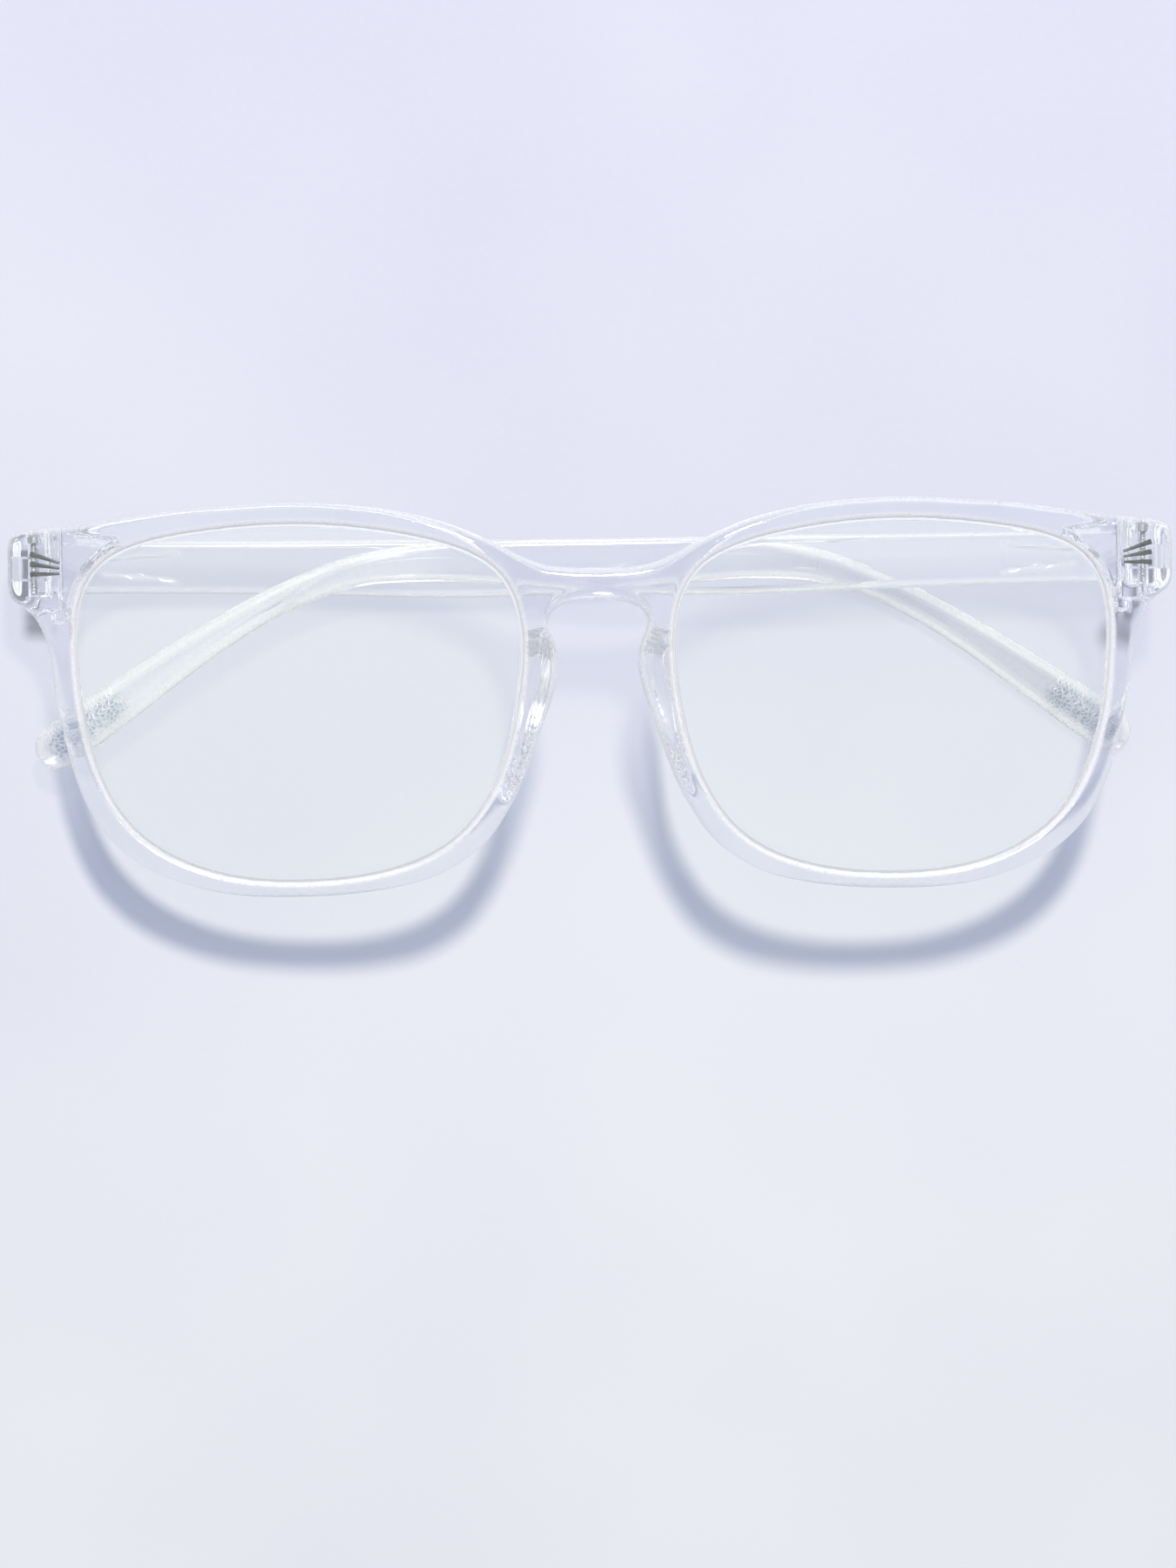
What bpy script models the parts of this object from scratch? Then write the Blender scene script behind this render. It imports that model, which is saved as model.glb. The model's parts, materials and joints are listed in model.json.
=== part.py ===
"""Folded eyeglasses with a clear moulded frame, lying face up on their folded temples.

Metres, +Z up. +X is the wearer's left, +Y the top of the frame, and +Z the way the lenses face.
The front is drawn in its own upright plane and then rolled a little about Y, because one folded
temple lies flat on the table and the other one lies on top of it.
"""
import math

import bmesh
import bpy
import numpy as np
from mathutils import Matrix, Vector
from mathutils.geometry import delaunay_2d_cdt

MM = 0.001

# the lens opening, as points around the middle of the lens, in millimetres
LENS_CENTRE_X = 36.0 * MM
APERTURE_POINTS = [
    (0, 21.4), (12, 20.65), (22.2, 18.0), (26.2, 13.2), (26.9, 5), (25.4, -5.4), (20.2, -15.3), (10, -20.7),
    (0, -21.7), (-10, -20.6), (-19, -16.3), (-24.4, -7.8), (-26.5, 1.5), (-26.7, 9), (-23.6, 15.8), (-13, 20),
]
CURVE_STEPS = 48

# how far the front curves back from the middle of the bridge, as radii across and up
FACE_RADIUS_X = 400.0 * MM
FACE_RADIUS_Y = 300.0 * MM

RIM_THICKNESS = 4.0 * MM
RIM_EDGE_RADIUS = 0.9 * MM
APERTURE_BEVEL = 0.5 * MM
GROOVE_DEPTH = 0.9 * MM
GROOVE_HALF_WIDTH = 0.8 * MM
LENS_THICKNESS = 2.0 * MM
LENS_BEHIND_FACE = 1.9 * MM
LENS_BULGE = 1.2 * MM
LENS_BEVEL_REACH = 0.6 * MM
LENS_EDGE_GAP = 0.3 * MM

# the hinge axes run along Y, at these places behind the front
HINGE_X = 67.8 * MM
FACE_ABOVE_HINGE = 14.8 * MM
KNUCKLE_RADIUS = 2.2 * MM
KNUCKLE_CLEARANCE = 0.3 * MM
UPPER_KNUCKLE_TOP = 20.1 * MM
LOWER_KNUCKLE_BASE = 12.9 * MM
HINGE_SLOT = (14.8 * MM, 17.8 * MM)
TEMPLE_KNUCKLE = (15.1 * MM, 17.5 * MM)
BUTT_GAP = 0.25 * MM
BLOCK_RELIEF = 1.3 * MM
BLOCK_INNER_X = 64.7 * MM

# the shoulder that joins each block to the lens corner: its span around the lens, its top and its depth
SHOULDER_ANGLES = (20, 41)
SHOULDER_TOP = [(57.4 * MM, 19.8 * MM), (61.0 * MM, 20.2 * MM), (65.4 * MM, 20.3 * MM)]
SHOULDER_OFF_LENS = 1.2 * MM
SHOULDER_DEPTH = 1.6 * MM
SHOULDER_ROOT = 1.5 * MM

# the room cut behind each block for the folded temple, and how far cutters run past what they cut
RELIEF_SIZE = (8 * MM, 16 * MM, 8 * MM)
RELIEF_INWARDS = 4.3 * MM
RELIEF_Y = 16.5 * MM
BLOCK_CUT_DEPTH = 8.2 * MM
CUT_SPARE = 2 * MM
BARREL_SPARE = 0.2 * MM
TEMPLE_THINNEST = 1.5 * MM

SCREW_RADIUS = 0.6 * MM
SCREW_HOLE_RADIUS = 0.7 * MM
SCREW_SPAN = (13.2 * MM, 19.95 * MM)
SCREW_HEAD_RADIUS = 0.95 * MM
SCREW_HEAD_HEIGHT = 0.6 * MM
SCREW_SLOT_WIDTH = 0.3 * MM
SCREW_SLOT_DEPTH = 0.25 * MM

PAD_DEPTH = 5.5 * MM
PAD_FLARE = 1.1 * MM

# each temple: place along it, height of its middle line, and its own height, in millimetres
TEMPLE_LINE = [
    (0.25, 16.5, 6.6), (12.0, 16.4, 6.5), (30.0, 16.15, 6.7), (50.0, 15.85, 7.3), (66.0, 16.0, 6.8),
    (80.0, 16.6, 5.4), (90.0, 16.5, 4.5), (98.0, 15.3, 3.8), (107.0, 11.8, 3.6), (116.0, 6.6, 4.2),
    (124.0, 1.2, 5.1), (130.0, -2.9, 5.6), (133.6, -5.4, 5.4),
]
TEMPLE_OUTER_FACE = 3.2 * MM
TEMPLE_THICKNESS_AT_HINGE = 3.9 * MM
TEMPLE_THICKNESS_AT_TIP = 2.3 * MM
TEMPLE_CHAMFER = (1.1 * MM, 0.7 * MM)
TEMPLE_STACK = 4.3 * MM

# the dark inlays: height at the lens end, height at the outer end
TRIM_BARS = [(17.1 * MM, 18.25 * MM), (16.45 * MM, 17.0 * MM), (15.8 * MM, 15.75 * MM)]
TRIM_X = (64.8 * MM, 68.3 * MM)
TRIM_WIDTHS = (0.28 * MM, 0.62 * MM)
TRIM_DEPTH = 0.5 * MM
TRIM_PROUD = 0.25 * MM
TRIM_GAP = 0.08 * MM

# the origin is under the middle of the whole object
ORIGIN_X = 0.14 * MM
ORIGIN_Y = -0.2 * MM

ROLL = math.asin(TEMPLE_STACK / (2 * HINGE_X))

# One half of the front's outer outline, from the top of the bridge over the endpiece and the bottom
# to the arch over the nose. Each row is the angle around the lens where that place faces it, then
# either a rim width or a place of its own, and how much of an endpiece or a nose pad it is.
RIM, AT = "rim", "at"
OUTLINE = [
    (143, AT, (0.0, 15.75), 0, 0), (139, AT, (3.3, 15.85), 0, 0), (135, AT, (6.5, 16.3), 0, 0),
    (131, AT, (9.5, 17.5), 0, 0), (126, AT, (12.6, 19.1), 0, 0), (122.5, AT, (18.2, 21.45), 0, 0),
    (119, RIM, 2.65, 0, 0), (110, RIM, 2.65, 0, 0), (100, RIM, 2.6, 0, 0), (90, RIM, 2.6, 0, 0),
    (79, RIM, 2.6, 0, 0), (67, RIM, 2.65, 0, 0), (57, RIM, 2.95, 0, 0),
    (48, AT, (57.3, 22.45), 0, 0), (42, AT, (61.8, 21.8), 0.25, 0), (37.5, AT, (65.6, 21.35), 0.95, 0),
    (34.5, AT, (68.9, 21.0), 1, 0), (32.5, AT, (70.5, 20.5), 1, 0), (30.5, AT, (71.1, 19.3), 1, 0),
    (27, AT, (71.15, 16.6), 1, 0), (23.5, AT, (71.1, 13.9), 1, 0), (21, AT, (70.5, 12.6), 1, 0),
    (18.5, AT, (69.2, 11.7), 1, 0), (16, AT, (67.9, 10.5), 0.7, 0), (13, AT, (66.9, 8.5), 0.1, 0),
    (9, AT, (66.2, 6.0), 0, 0),
    (3, RIM, 2.95, 0, 0), (-5, RIM, 2.75, 0, 0), (-14, RIM, 2.8, 0, 0), (-24, RIM, 2.95, 0, 0),
    (-34, RIM, 3.0, 0, 0), (-45, RIM, 2.8, 0, 0), (-58, RIM, 2.4, 0, 0), (-72, RIM, 2.1, 0, 0),
    (-88, RIM, 1.9, 0, 0), (-104, RIM, 1.95, 0, 0), (-118, RIM, 2.2, 0, 0), (-130, RIM, 2.6, 0, 0),
    (-142, RIM, 2.85, 0, 0), (-153, RIM, 2.8, 0, 0.1), (-162, RIM, 2.9, 0, 0.5),
    (-171, AT, (6.9, -3.4), 0, 0.9), (-178, AT, (5.5, 0.6), 0, 1), (-184, AT, (4.9, 4.0), 0, 1),
    (-189, AT, (5.2, 6.7), 0, 0.7), (-193, AT, (6.0, 8.5), 0, 0.25), (-196, AT, (6.0, 9.8), 0, 0),
    (-199, AT, (4.9, 11.0), 0, 0), (-202, AT, (2.8, 11.75), 0, 0), (-205, AT, (0.0, 11.95), 0, 0),
]
OUTLINE_SPACING = 2.2 * MM


# ---------------------------------------------------------------- curves

def closed_curve(points):
    """A dense loop through the points, as a cubic spline whose curvature has no jumps."""
    points = np.array(points, float) * MM
    count = len(points)
    spans = np.sqrt(np.linalg.norm(np.roll(points, -1, axis=0) - points, axis=1))
    system, right = np.zeros((count, count)), np.zeros((count, 2))
    for i in range(count):
        ahead = (i + 1) % count
        system[i, i - 1] = spans[i - 1] / 6
        system[i, i] = (spans[i - 1] + spans[i]) / 3
        system[i, ahead] = spans[i] / 6
        right[i] = (points[ahead] - points[i]) / spans[i] - (points[i] - points[i - 1]) / spans[i - 1]
    bends = np.linalg.solve(system, right)
    out = []
    for i in range(count):
        ahead = (i + 1) % count
        for b in np.arange(CURVE_STEPS) / CURVE_STEPS:
            a = 1 - b
            bent = (a ** 3 - a) * bends[i] + (b ** 3 - b) * bends[ahead]
            out.append(a * points[i] + b * points[ahead] + bent * spans[i] ** 2 / 6)
    return np.array(out)


def polar(points):
    """The same loop as angles in rising order and the radius at each."""
    angles = np.arctan2(points[:, 1], points[:, 0])
    order = np.argsort(angles)
    return angles[order], np.linalg.norm(points, axis=1)[order]


APERTURE_ANGLES, APERTURE_RADII = polar(closed_curve(APERTURE_POINTS))


def aperture_point(angle, outwards=0.0):
    """A point of the opening's edge in the front's plane, moved outwards square to the edge."""
    step = 0.02

    def plain(at):
        radius = np.interp(at, APERTURE_ANGLES, APERTURE_RADII, period=2 * math.pi)
        return np.array([LENS_CENTRE_X + radius * math.cos(at), radius * math.sin(at)])

    along = plain(angle + step) - plain(angle - step)
    normal = np.array([along[1], -along[0]]) / np.hypot(*along)
    return plain(angle) + outwards * normal


def catmull(p0, p1, p2, p3, t):
    """A smooth step from p1 to p2."""
    return 0.5 * (2 * p1 + (p2 - p0) * t + (2 * p0 - 5 * p1 + 4 * p2 - p3) * t ** 2
                  + (3 * p1 - p0 - 3 * p2 + p3) * t ** 3)


def smooth_path(rows, spacing, before, after):
    """Rows of numbers, joined by a smooth curve with about one row per spacing of x and y."""
    rows = [before] + list(rows) + [after]
    out = []
    for i in range(1, len(rows) - 2):
        length = np.hypot(*(rows[i + 1][:2] - rows[i][:2]))
        count = max(1, round(length / spacing))
        out += [catmull(rows[i - 1], rows[i], rows[i + 1], rows[i + 2], k / count) for k in range(count)]
    out.append(rows[-2])
    return out


def face_height(x, y):
    """How high the front's face is above the hinge axes, in the front's own plane."""
    return FACE_ABOVE_HINGE - x * x / (2 * FACE_RADIUS_X) - y * y / (2 * FACE_RADIUS_Y)


# ---------------------------------------------------------------- meshes and objects

def new_object(name, bm, material, parent=None, location=(0, 0, 0)):
    bmesh.ops.recalc_face_normals(bm, faces=bm.faces)
    if bm.calc_volume(signed=True) < 0:
        bmesh.ops.reverse_faces(bm, faces=bm.faces)
    mesh = bpy.data.meshes.new(name)
    bm.to_mesh(mesh)
    bm.free()
    mesh.shade_smooth()
    mesh.set_sharp_from_angle(angle=math.radians(35))
    obj = bpy.data.objects.new(name, mesh)
    obj.location = location
    obj.parent = parent
    bpy.context.scene.collection.objects.link(obj)
    if material:
        mesh.materials.append(material)
    return obj


def as_cutter(obj):
    obj.hide_render = True
    obj.display_type = "WIRE"
    return obj


def boolean(obj, other, operation):
    modifier = obj.modifiers.new(operation.lower(), "BOOLEAN")
    modifier.operation = operation
    modifier.solver = "EXACT"
    modifier.object = other


def add_cylinder(bm, x, radius, y_from, y_to, segments=32):
    """A closed cylinder along Y, around the axis at (x, 0)."""
    middle = Matrix.Translation((x, (y_from + y_to) / 2, 0)) @ Matrix.Rotation(math.pi / 2, 4, "X")
    bmesh.ops.create_cone(bm, cap_ends=True, segments=segments, radius1=radius, radius2=radius,
                          depth=y_to - y_from, matrix=middle)


def join_loops(bm, loops):
    """Quads between neighbouring loops of vertices."""
    for one, two in zip(loops, loops[1:]):
        for k in range(len(one)):
            ahead = (k + 1) % len(one)
            bm.faces.new((one[k], one[ahead], two[ahead], two[k]))


# ---------------------------------------------------------------- the front

def outline_rows():
    """Outer x and y, rim width, endpiece share and pad share along the half outline."""
    rows = []
    for degrees, kind, where, endpiece, pad in OUTLINE:
        angle = math.radians(degrees)
        outer = aperture_point(angle, where * MM) if kind == RIM else np.array(where) * MM
        width = np.hypot(*(outer - aperture_point(angle)))
        rows.append(np.array([outer[0], outer[1], width, endpiece, pad]))
    mirrored = np.array([-1, 1, 1, 1, 1])
    path = smooth_path(rows, OUTLINE_SPACING, rows[1] * mirrored, rows[-2] * mirrored)
    for row in path:
        row[3:] = np.clip(row[3:], 0, 1)
    path[0][0] = path[-1][0] = 0
    return path


def loop_normals(points):
    """The direction out of a closed loop at each of its points, for a loop that runs clockwise."""
    ahead, behind = np.roll(points, -1, axis=0), np.roll(points, 1, axis=0)
    along = (ahead - points) / np.linalg.norm(ahead - points, axis=1)[:, None]
    along += (points - behind) / np.linalg.norm(points - behind, axis=1)[:, None]
    along /= np.linalg.norm(along, axis=1)[:, None]
    return np.stack([-along[:, 1], along[:, 0]], axis=1)


def full_outline():
    """The whole outer outline, clockwise from the top of the bridge."""
    half = np.array([row[:2] for row in outline_rows()])
    other = half[-2:0:-1] * np.array([-1, 1])
    return np.concatenate([half, other])


def back_height(x, y):
    return face_height(x, y) - RIM_THICKNESS


def wall_loops(bm, points, normals, levels):
    """One loop of vertices for each level: how far inwards it lies, and its height function."""
    loops = []
    for inwards, height in levels:
        moved = points - normals * inwards
        loops.append([bm.verts.new((x, y, height(x, y))) for x, y in moved])
    return loops


def fill_between(bm, outer, holes):
    """Triangles that fill the face inside one loop and outside the others, which are all convex."""
    loops = [outer] + holes
    verts = [vert for loop in loops for vert in loop]
    flat = [Vector((vert.co.x, vert.co.y)) for vert in verts]
    edges, owner = [], []
    for number, loop in enumerate(loops):
        first = len(owner)
        edges += [(first + k, first + (k + 1) % len(loop)) for k in range(len(loop))]
        owner += [number] * len(loop)
    inside_the_edges = 1
    found = delaunay_2d_cdt(flat, edges, [], inside_the_edges, 1e-9)
    for corners in found[2]:
        corners = [found[3][corner][0] for corner in corners]
        owners = {owner[corner] for corner in corners}
        if len(owners) > 1 or owners == {0}:
            bm.faces.new([verts[corner] for corner in corners])


def add_plate(bm):
    """The flat of the front with its rounded outer edge, both lens openings and their grooves."""
    radius = RIM_EDGE_RADIUS
    soft = radius * (1 - math.sqrt(0.5))
    outline = full_outline()
    outer = wall_loops(bm, outline, loop_normals(outline), [
        (radius, face_height), (soft, lambda x, y: face_height(x, y) - soft),
        (0, lambda x, y: face_height(x, y) - radius), (0, lambda x, y: back_height(x, y) + radius),
        (soft, lambda x, y: back_height(x, y) + soft), (radius, back_height)])
    join_loops(bm, outer)

    def lens(x, y, up):
        return face_height(x, y) - LENS_BEHIND_FACE + up * GROOVE_HALF_WIDTH

    angles = -np.linspace(0, 2 * math.pi, 84, endpoint=False)
    fronts, backs = [], []
    for side in (1, -1):
        hole = np.array([aperture_point(angle) for angle in angles[::side]]) * np.array([side, 1])
        loops = wall_loops(bm, hole, -loop_normals(hole), [
            (APERTURE_BEVEL, face_height), (0, lambda x, y: face_height(x, y) - APERTURE_BEVEL),
            (0, lambda x, y: lens(x, y, 1)), (GROOVE_DEPTH, lambda x, y: lens(x, y, 0)),
            (0, lambda x, y: lens(x, y, -1)),
            (0, lambda x, y: back_height(x, y) + APERTURE_BEVEL), (APERTURE_BEVEL, back_height)])
        join_loops(bm, loops)
        fronts.append(loops[0])
        backs.append(loops[-1])
    fill_between(bm, outer[0], fronts)
    fill_between(bm, outer[-1], backs)


def endpiece_blocks(parent):
    """The deep corner behind each end of the front, which reaches back to the hinge."""
    bm = bmesh.new()
    edge = np.array([row[:2] for row in outline_rows() if row[3] > 0.8])
    normals = loop_normals(edge)
    proud, bevel = 0.02 * MM, 0.6 * MM
    for side in (1, -1):
        levels = [(-proud, FACE_ABOVE_HINGE - BLOCK_CUT_DEPTH), (-proud, BUTT_GAP + bevel),
                  (bevel / 2, BUTT_GAP)]
        loops = []
        for inwards, height in levels:
            moved = edge[1:-1] - normals[1:-1] * inwards
            low, high = moved[-1][1], moved[0][1]
            ring = [*moved, (BLOCK_INNER_X, low), (BLOCK_INNER_X, high)]
            loops.append([bm.verts.new((side * x, y, height)) for x, y in ring])
        join_loops(bm, loops)
        bm.faces.new(loops[0])
        bm.faces.new(loops[-1])
    return as_cutter(new_object("block_guide", bm, None, parent))


def endpiece_shoulders(parent):
    """The thicker ground between each block and the corner of the lens."""
    bm = bmesh.new()
    low, high = (math.radians(angle) for angle in SHOULDER_ANGLES)
    lens_side = [aperture_point(angle, SHOULDER_OFF_LENS) for angle in np.linspace(low, high, 9)]
    ring = [*lens_side, *SHOULDER_TOP, (SHOULDER_TOP[-1][0], lens_side[0][1])]
    for side in (1, -1):
        loops = []
        for depth in (SHOULDER_ROOT - RIM_THICKNESS, SHOULDER_DEPTH):
            loops.append([bm.verts.new((side * x, y, back_height(x, y) - depth)) for x, y in ring])
        join_loops(bm, loops)
        bm.faces.new(loops[0])
        bm.faces.new(loops[-1])
    return as_cutter(new_object("shoulder_guide", bm, None, parent))


def block_relief(parent):
    """The room behind each block's inner part for the folded temple."""
    bm = bmesh.new()
    for side in (1, -1):
        size = Matrix.Diagonal((*RELIEF_SIZE, 1))
        place = (side * (HINGE_X - RELIEF_INWARDS), RELIEF_Y, BLOCK_RELIEF - RELIEF_SIZE[2] / 2)
        bmesh.ops.create_cube(bm, size=1, matrix=Matrix.Translation(place) @ size)
    return as_cutter(new_object("relief_guide", bm, None, parent))


def nose_pads(parent):
    """The moulded pads, which run back from the nose side of each rim and lean outwards."""
    bm = bmesh.new()
    rows = [row for row in outline_rows() if row[4] > 0.06]
    points = np.array([row[:2] for row in rows])
    normals = loop_normals(points)[1:-1]
    for side in (1, -1):
        loops = []
        for (x, y, width, _, pad), out in zip(rows[1:-1], normals):
            face, back = face_height(x, y), back_height(x, y)
            root = min(3.0 * MM, width - 1.3 * MM)
            tip = back - 0.3 * MM - PAD_DEPTH * pad
            lean = PAD_FLARE * pad
            section = [(0.5 * MM, face - 1.3 * MM), (0.02 * MM, back + 1.2 * MM),
                       (0.25 * MM + 0.3 * lean, back - 0.35 * (back - tip)),
                       (0.25 * MM + lean, tip + 0.7 * MM),
                       (0.8 * MM + lean, tip), (root - 0.9 * MM + lean, tip + 0.1 * MM),
                       (root - 0.3 * MM + lean, tip + 0.9 * MM), (root, back - 0.2 * MM),
                       (root - 0.1 * MM, back + 0.8 * MM)]
            loop = []
            for inwards, height in section:
                moved = np.array([x, y]) - out * inwards
                loop.append(bm.verts.new((side * moved[0], moved[1], height)))
            loops.append(loop)
        join_loops(bm, loops)
        bm.faces.new(loops[0])
        bm.faces.new(loops[-1])
    return as_cutter(new_object("pad_guide", bm, None, parent))


def front_knuckles(parent):
    """A barrel on each hinge axis, which the slot parts into two knuckles."""
    bm = bmesh.new()
    for side in (-1, 1):
        add_cylinder(bm, side * HINGE_X, KNUCKLE_RADIUS, LOWER_KNUCKLE_BASE, UPPER_KNUCKLE_TOP)
    return as_cutter(new_object("knuckle_guide", bm, None, parent))


def hinge_slots(parent):
    """The slots in the endpieces that the temples' knuckles turn in."""
    bm = bmesh.new()
    for side in (-1, 1):
        add_cylinder(bm, side * HINGE_X, KNUCKLE_RADIUS + KNUCKLE_CLEARANCE, *HINGE_SLOT)
    return as_cutter(new_object("slot_guide", bm, None, parent))


def hole_cutter(name, parent, places, head):
    """Screw holes along Y at these x places, with a wider seat for the head."""
    bm = bmesh.new()
    for x in places:
        add_cylinder(bm, x, SCREW_HOLE_RADIUS, LOWER_KNUCKLE_BASE - MM, SCREW_SPAN[1] + MM, 24)
    holes = as_cutter(new_object(name, bm, None, parent))
    if head:
        seat = bmesh.new()
        seat_from = SCREW_SPAN[1] - SCREW_HEAD_HEIGHT - 0.1 * MM
        for x in places:
            add_cylinder(seat, x, SCREW_HEAD_RADIUS + 0.1 * MM, seat_from, SCREW_SPAN[1] + MM, 24)
        boolean(holes, as_cutter(new_object(name + "_seat", seat, None, parent)), "UNION")
    return holes


def make_front(material, parent):
    bm = bmesh.new()
    add_plate(bm)
    obj = new_object("front_frame", bm, material, parent)
    boolean(obj, endpiece_blocks(parent), "UNION")
    boolean(obj, endpiece_shoulders(parent), "UNION")
    boolean(obj, block_relief(parent), "DIFFERENCE")
    boolean(obj, nose_pads(parent), "UNION")
    boolean(obj, front_knuckles(parent), "UNION")
    boolean(obj, hinge_slots(parent), "DIFFERENCE")
    boolean(obj, hole_cutter("front_hole_guide", parent, (-HINGE_X, HINGE_X), True), "DIFFERENCE")
    boolean(obj, trim_pockets(parent), "DIFFERENCE")
    return obj


# ---------------------------------------------------------------- the lenses

def make_lens(name, side, material, parent):
    """A lens of even thickness, bulging forwards, with a bevel all round that enters the groove."""
    bm = bmesh.new()
    rings, around = 4, 76
    half = LENS_THICKNESS / 2
    edge = [(-LENS_EDGE_GAP, half * 0.8), (LENS_BEVEL_REACH, 0.0), (-LENS_EDGE_GAP, -half * 0.8)]

    def middle(point, share):
        return face_height(*point) - LENS_BEHIND_FACE + LENS_BULGE * (1 - share * share)

    loops = []
    for k in range(around):
        angle = 2 * math.pi * k / around
        centre = np.array([LENS_CENTRE_X, 0.0])
        rim = aperture_point(angle, -LENS_EDGE_GAP)
        shares = [r / rings for r in range(1, rings + 1)]
        front = [(centre + (rim - centre) * s, s, half) for s in shares]
        back = [(centre + (rim - centre) * s, s, -half) for s in reversed(shares)]
        bevel = [(aperture_point(angle, out), 1.0, up) for out, up in edge]
        column = front + bevel + back
        loops.append([bm.verts.new((side * p[0], p[1], middle(p, s) + up)) for p, s, up in column])
    for one, two in zip(loops, loops[1:] + loops[:1]):
        for k in range(len(one) - 1):
            bm.faces.new((one[k], one[k + 1], two[k + 1], two[k]))
    for place, up in ((0, half), (-1, -half)):
        height = middle((LENS_CENTRE_X, 0), 0) + up
        pole = bm.verts.new((side * LENS_CENTRE_X, 0, height))
        for one, two in zip(loops, loops[1:] + loops[:1]):
            bm.faces.new((one[place], two[place], pole))
    return new_object(name, bm, material, parent)


# ---------------------------------------------------------------- the temples

def temple_section(width, thickness):
    """Across a temple: a flat outer face with chamfers, straight sides and a soft inner face."""
    half = width / 2
    reach = min(TEMPLE_CHAMFER[0], 0.3 * width)
    rise = min(TEMPLE_CHAMFER[1], 0.25 * thickness)
    side = [(half - reach, 0), (half - 0.25 * reach, 0.7 * rise), (half, 1.4 * rise),
            (half, thickness - 1.3 * rise), (half - 0.25 * reach, thickness - 0.45 * rise),
            (half - reach, thickness)]
    return side + [(-across, up) for across, up in reversed(side)]


def temple_rows():
    rows = [np.array(row) * MM for row in TEMPLE_LINE]
    before, after = 2 * rows[0] - rows[1], 2 * rows[-1] - rows[-2]
    return smooth_path(rows, 2.6 * MM, before, after)


def temple_thickness(share):
    return TEMPLE_THICKNESS_AT_HINGE + (TEMPLE_THICKNESS_AT_TIP - TEMPLE_THICKNESS_AT_HINGE) * share


def temple_body(bm, side):
    """The bar and its bent tip, drawn from the hinge axis towards the other side of the front."""
    rows = temple_rows()
    total = len(rows) - 1
    stations = []
    for i, row in enumerate(rows):
        ahead, behind = rows[min(i + 1, total)], rows[max(i - 1, 0)]
        along = (ahead - behind)[:2] / np.hypot(*(ahead - behind)[:2])
        stations.append((row[:2], along, row[2], temple_thickness(i / total)))
    middle, along, width, thickness = stations[-1]
    for degrees in (30, 55, 75):
        turn = math.radians(degrees)
        step = 0.5 * width * math.sin(turn)
        stations.append((middle + along * step, along, width * math.cos(turn),
                         thickness * (0.55 + 0.45 * math.cos(turn))))
    loops = []
    for middle, along, width, thickness in stations:
        across = np.array([-along[1], along[0]])
        section = temple_section(width, max(thickness, TEMPLE_THINNEST))
        loop = []
        for out, up in section:
            point = middle + across * out
            loop.append(bm.verts.new((-side * point[0], point[1], up - TEMPLE_OUTER_FACE)))
        loops.append(loop)
    join_loops(bm, loops)
    bm.faces.new(loops[0])
    bm.faces.new(loops[-1])


def make_temple(name, side, material, hinge):
    bm = bmesh.new()
    temple_body(bm, side)
    obj = new_object(name, bm, material, None, hinge)

    barrel = bmesh.new()
    add_cylinder(barrel, 0, KNUCKLE_RADIUS, TEMPLE_KNUCKLE[0] - BARREL_SPARE,
                 TEMPLE_KNUCKLE[1] + BARREL_SPARE)
    boolean(obj, as_cutter(new_object(name + "_barrel", barrel, None, None, hinge)), "UNION")

    relief = bmesh.new()
    clear = KNUCKLE_RADIUS + KNUCKLE_CLEARANCE
    add_cylinder(relief, 0, clear, TEMPLE_KNUCKLE[1], UPPER_KNUCKLE_TOP + CUT_SPARE)
    add_cylinder(relief, 0, clear, LOWER_KNUCKLE_BASE - CUT_SPARE, TEMPLE_KNUCKLE[0])
    boolean(obj, as_cutter(new_object(name + "_relief", relief, None, None, hinge)), "DIFFERENCE")

    hole = hole_cutter(name + "_hole", None, (0,), False)
    hole.location = hinge
    boolean(obj, hole, "DIFFERENCE")
    return obj


# ---------------------------------------------------------------- small metal pieces

def make_screw(name, side, material, parent):
    """A slotted screw along the hinge axis, head up."""
    bm = bmesh.new()
    x = side * HINGE_X
    turns = 24
    neck = SCREW_SPAN[1] - SCREW_HEAD_HEIGHT
    profile = [(SCREW_RADIUS * 0.6, SCREW_SPAN[0]), (SCREW_RADIUS, SCREW_SPAN[0] + 0.25 * MM),
               (SCREW_RADIUS, neck), (SCREW_HEAD_RADIUS, neck),
               (SCREW_HEAD_RADIUS, SCREW_SPAN[1] - 0.15 * MM),
               (SCREW_HEAD_RADIUS - 0.15 * MM, SCREW_SPAN[1])]
    loops = []
    for radius, y in profile:
        ring = []
        for k in range(turns):
            turn = 2 * math.pi * k / turns
            ring.append(bm.verts.new((x + radius * math.cos(turn), y, radius * math.sin(turn))))
        loops.append(ring)
    join_loops(bm, loops)
    bm.faces.new(loops[0])
    bm.faces.new(loops[-1])
    obj = new_object(name, bm, material, parent)
    slot = bmesh.new()
    size = Matrix.Diagonal((SCREW_HEAD_RADIUS * 3, SCREW_SLOT_DEPTH * 2, SCREW_SLOT_WIDTH, 1))
    bmesh.ops.create_cube(slot, size=1, matrix=Matrix.Translation((x, SCREW_SPAN[1], 0)) @ size)
    boolean(obj, as_cutter(new_object(name + "_slot", slot, None, parent)), "DIFFERENCE")
    return obj


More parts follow.
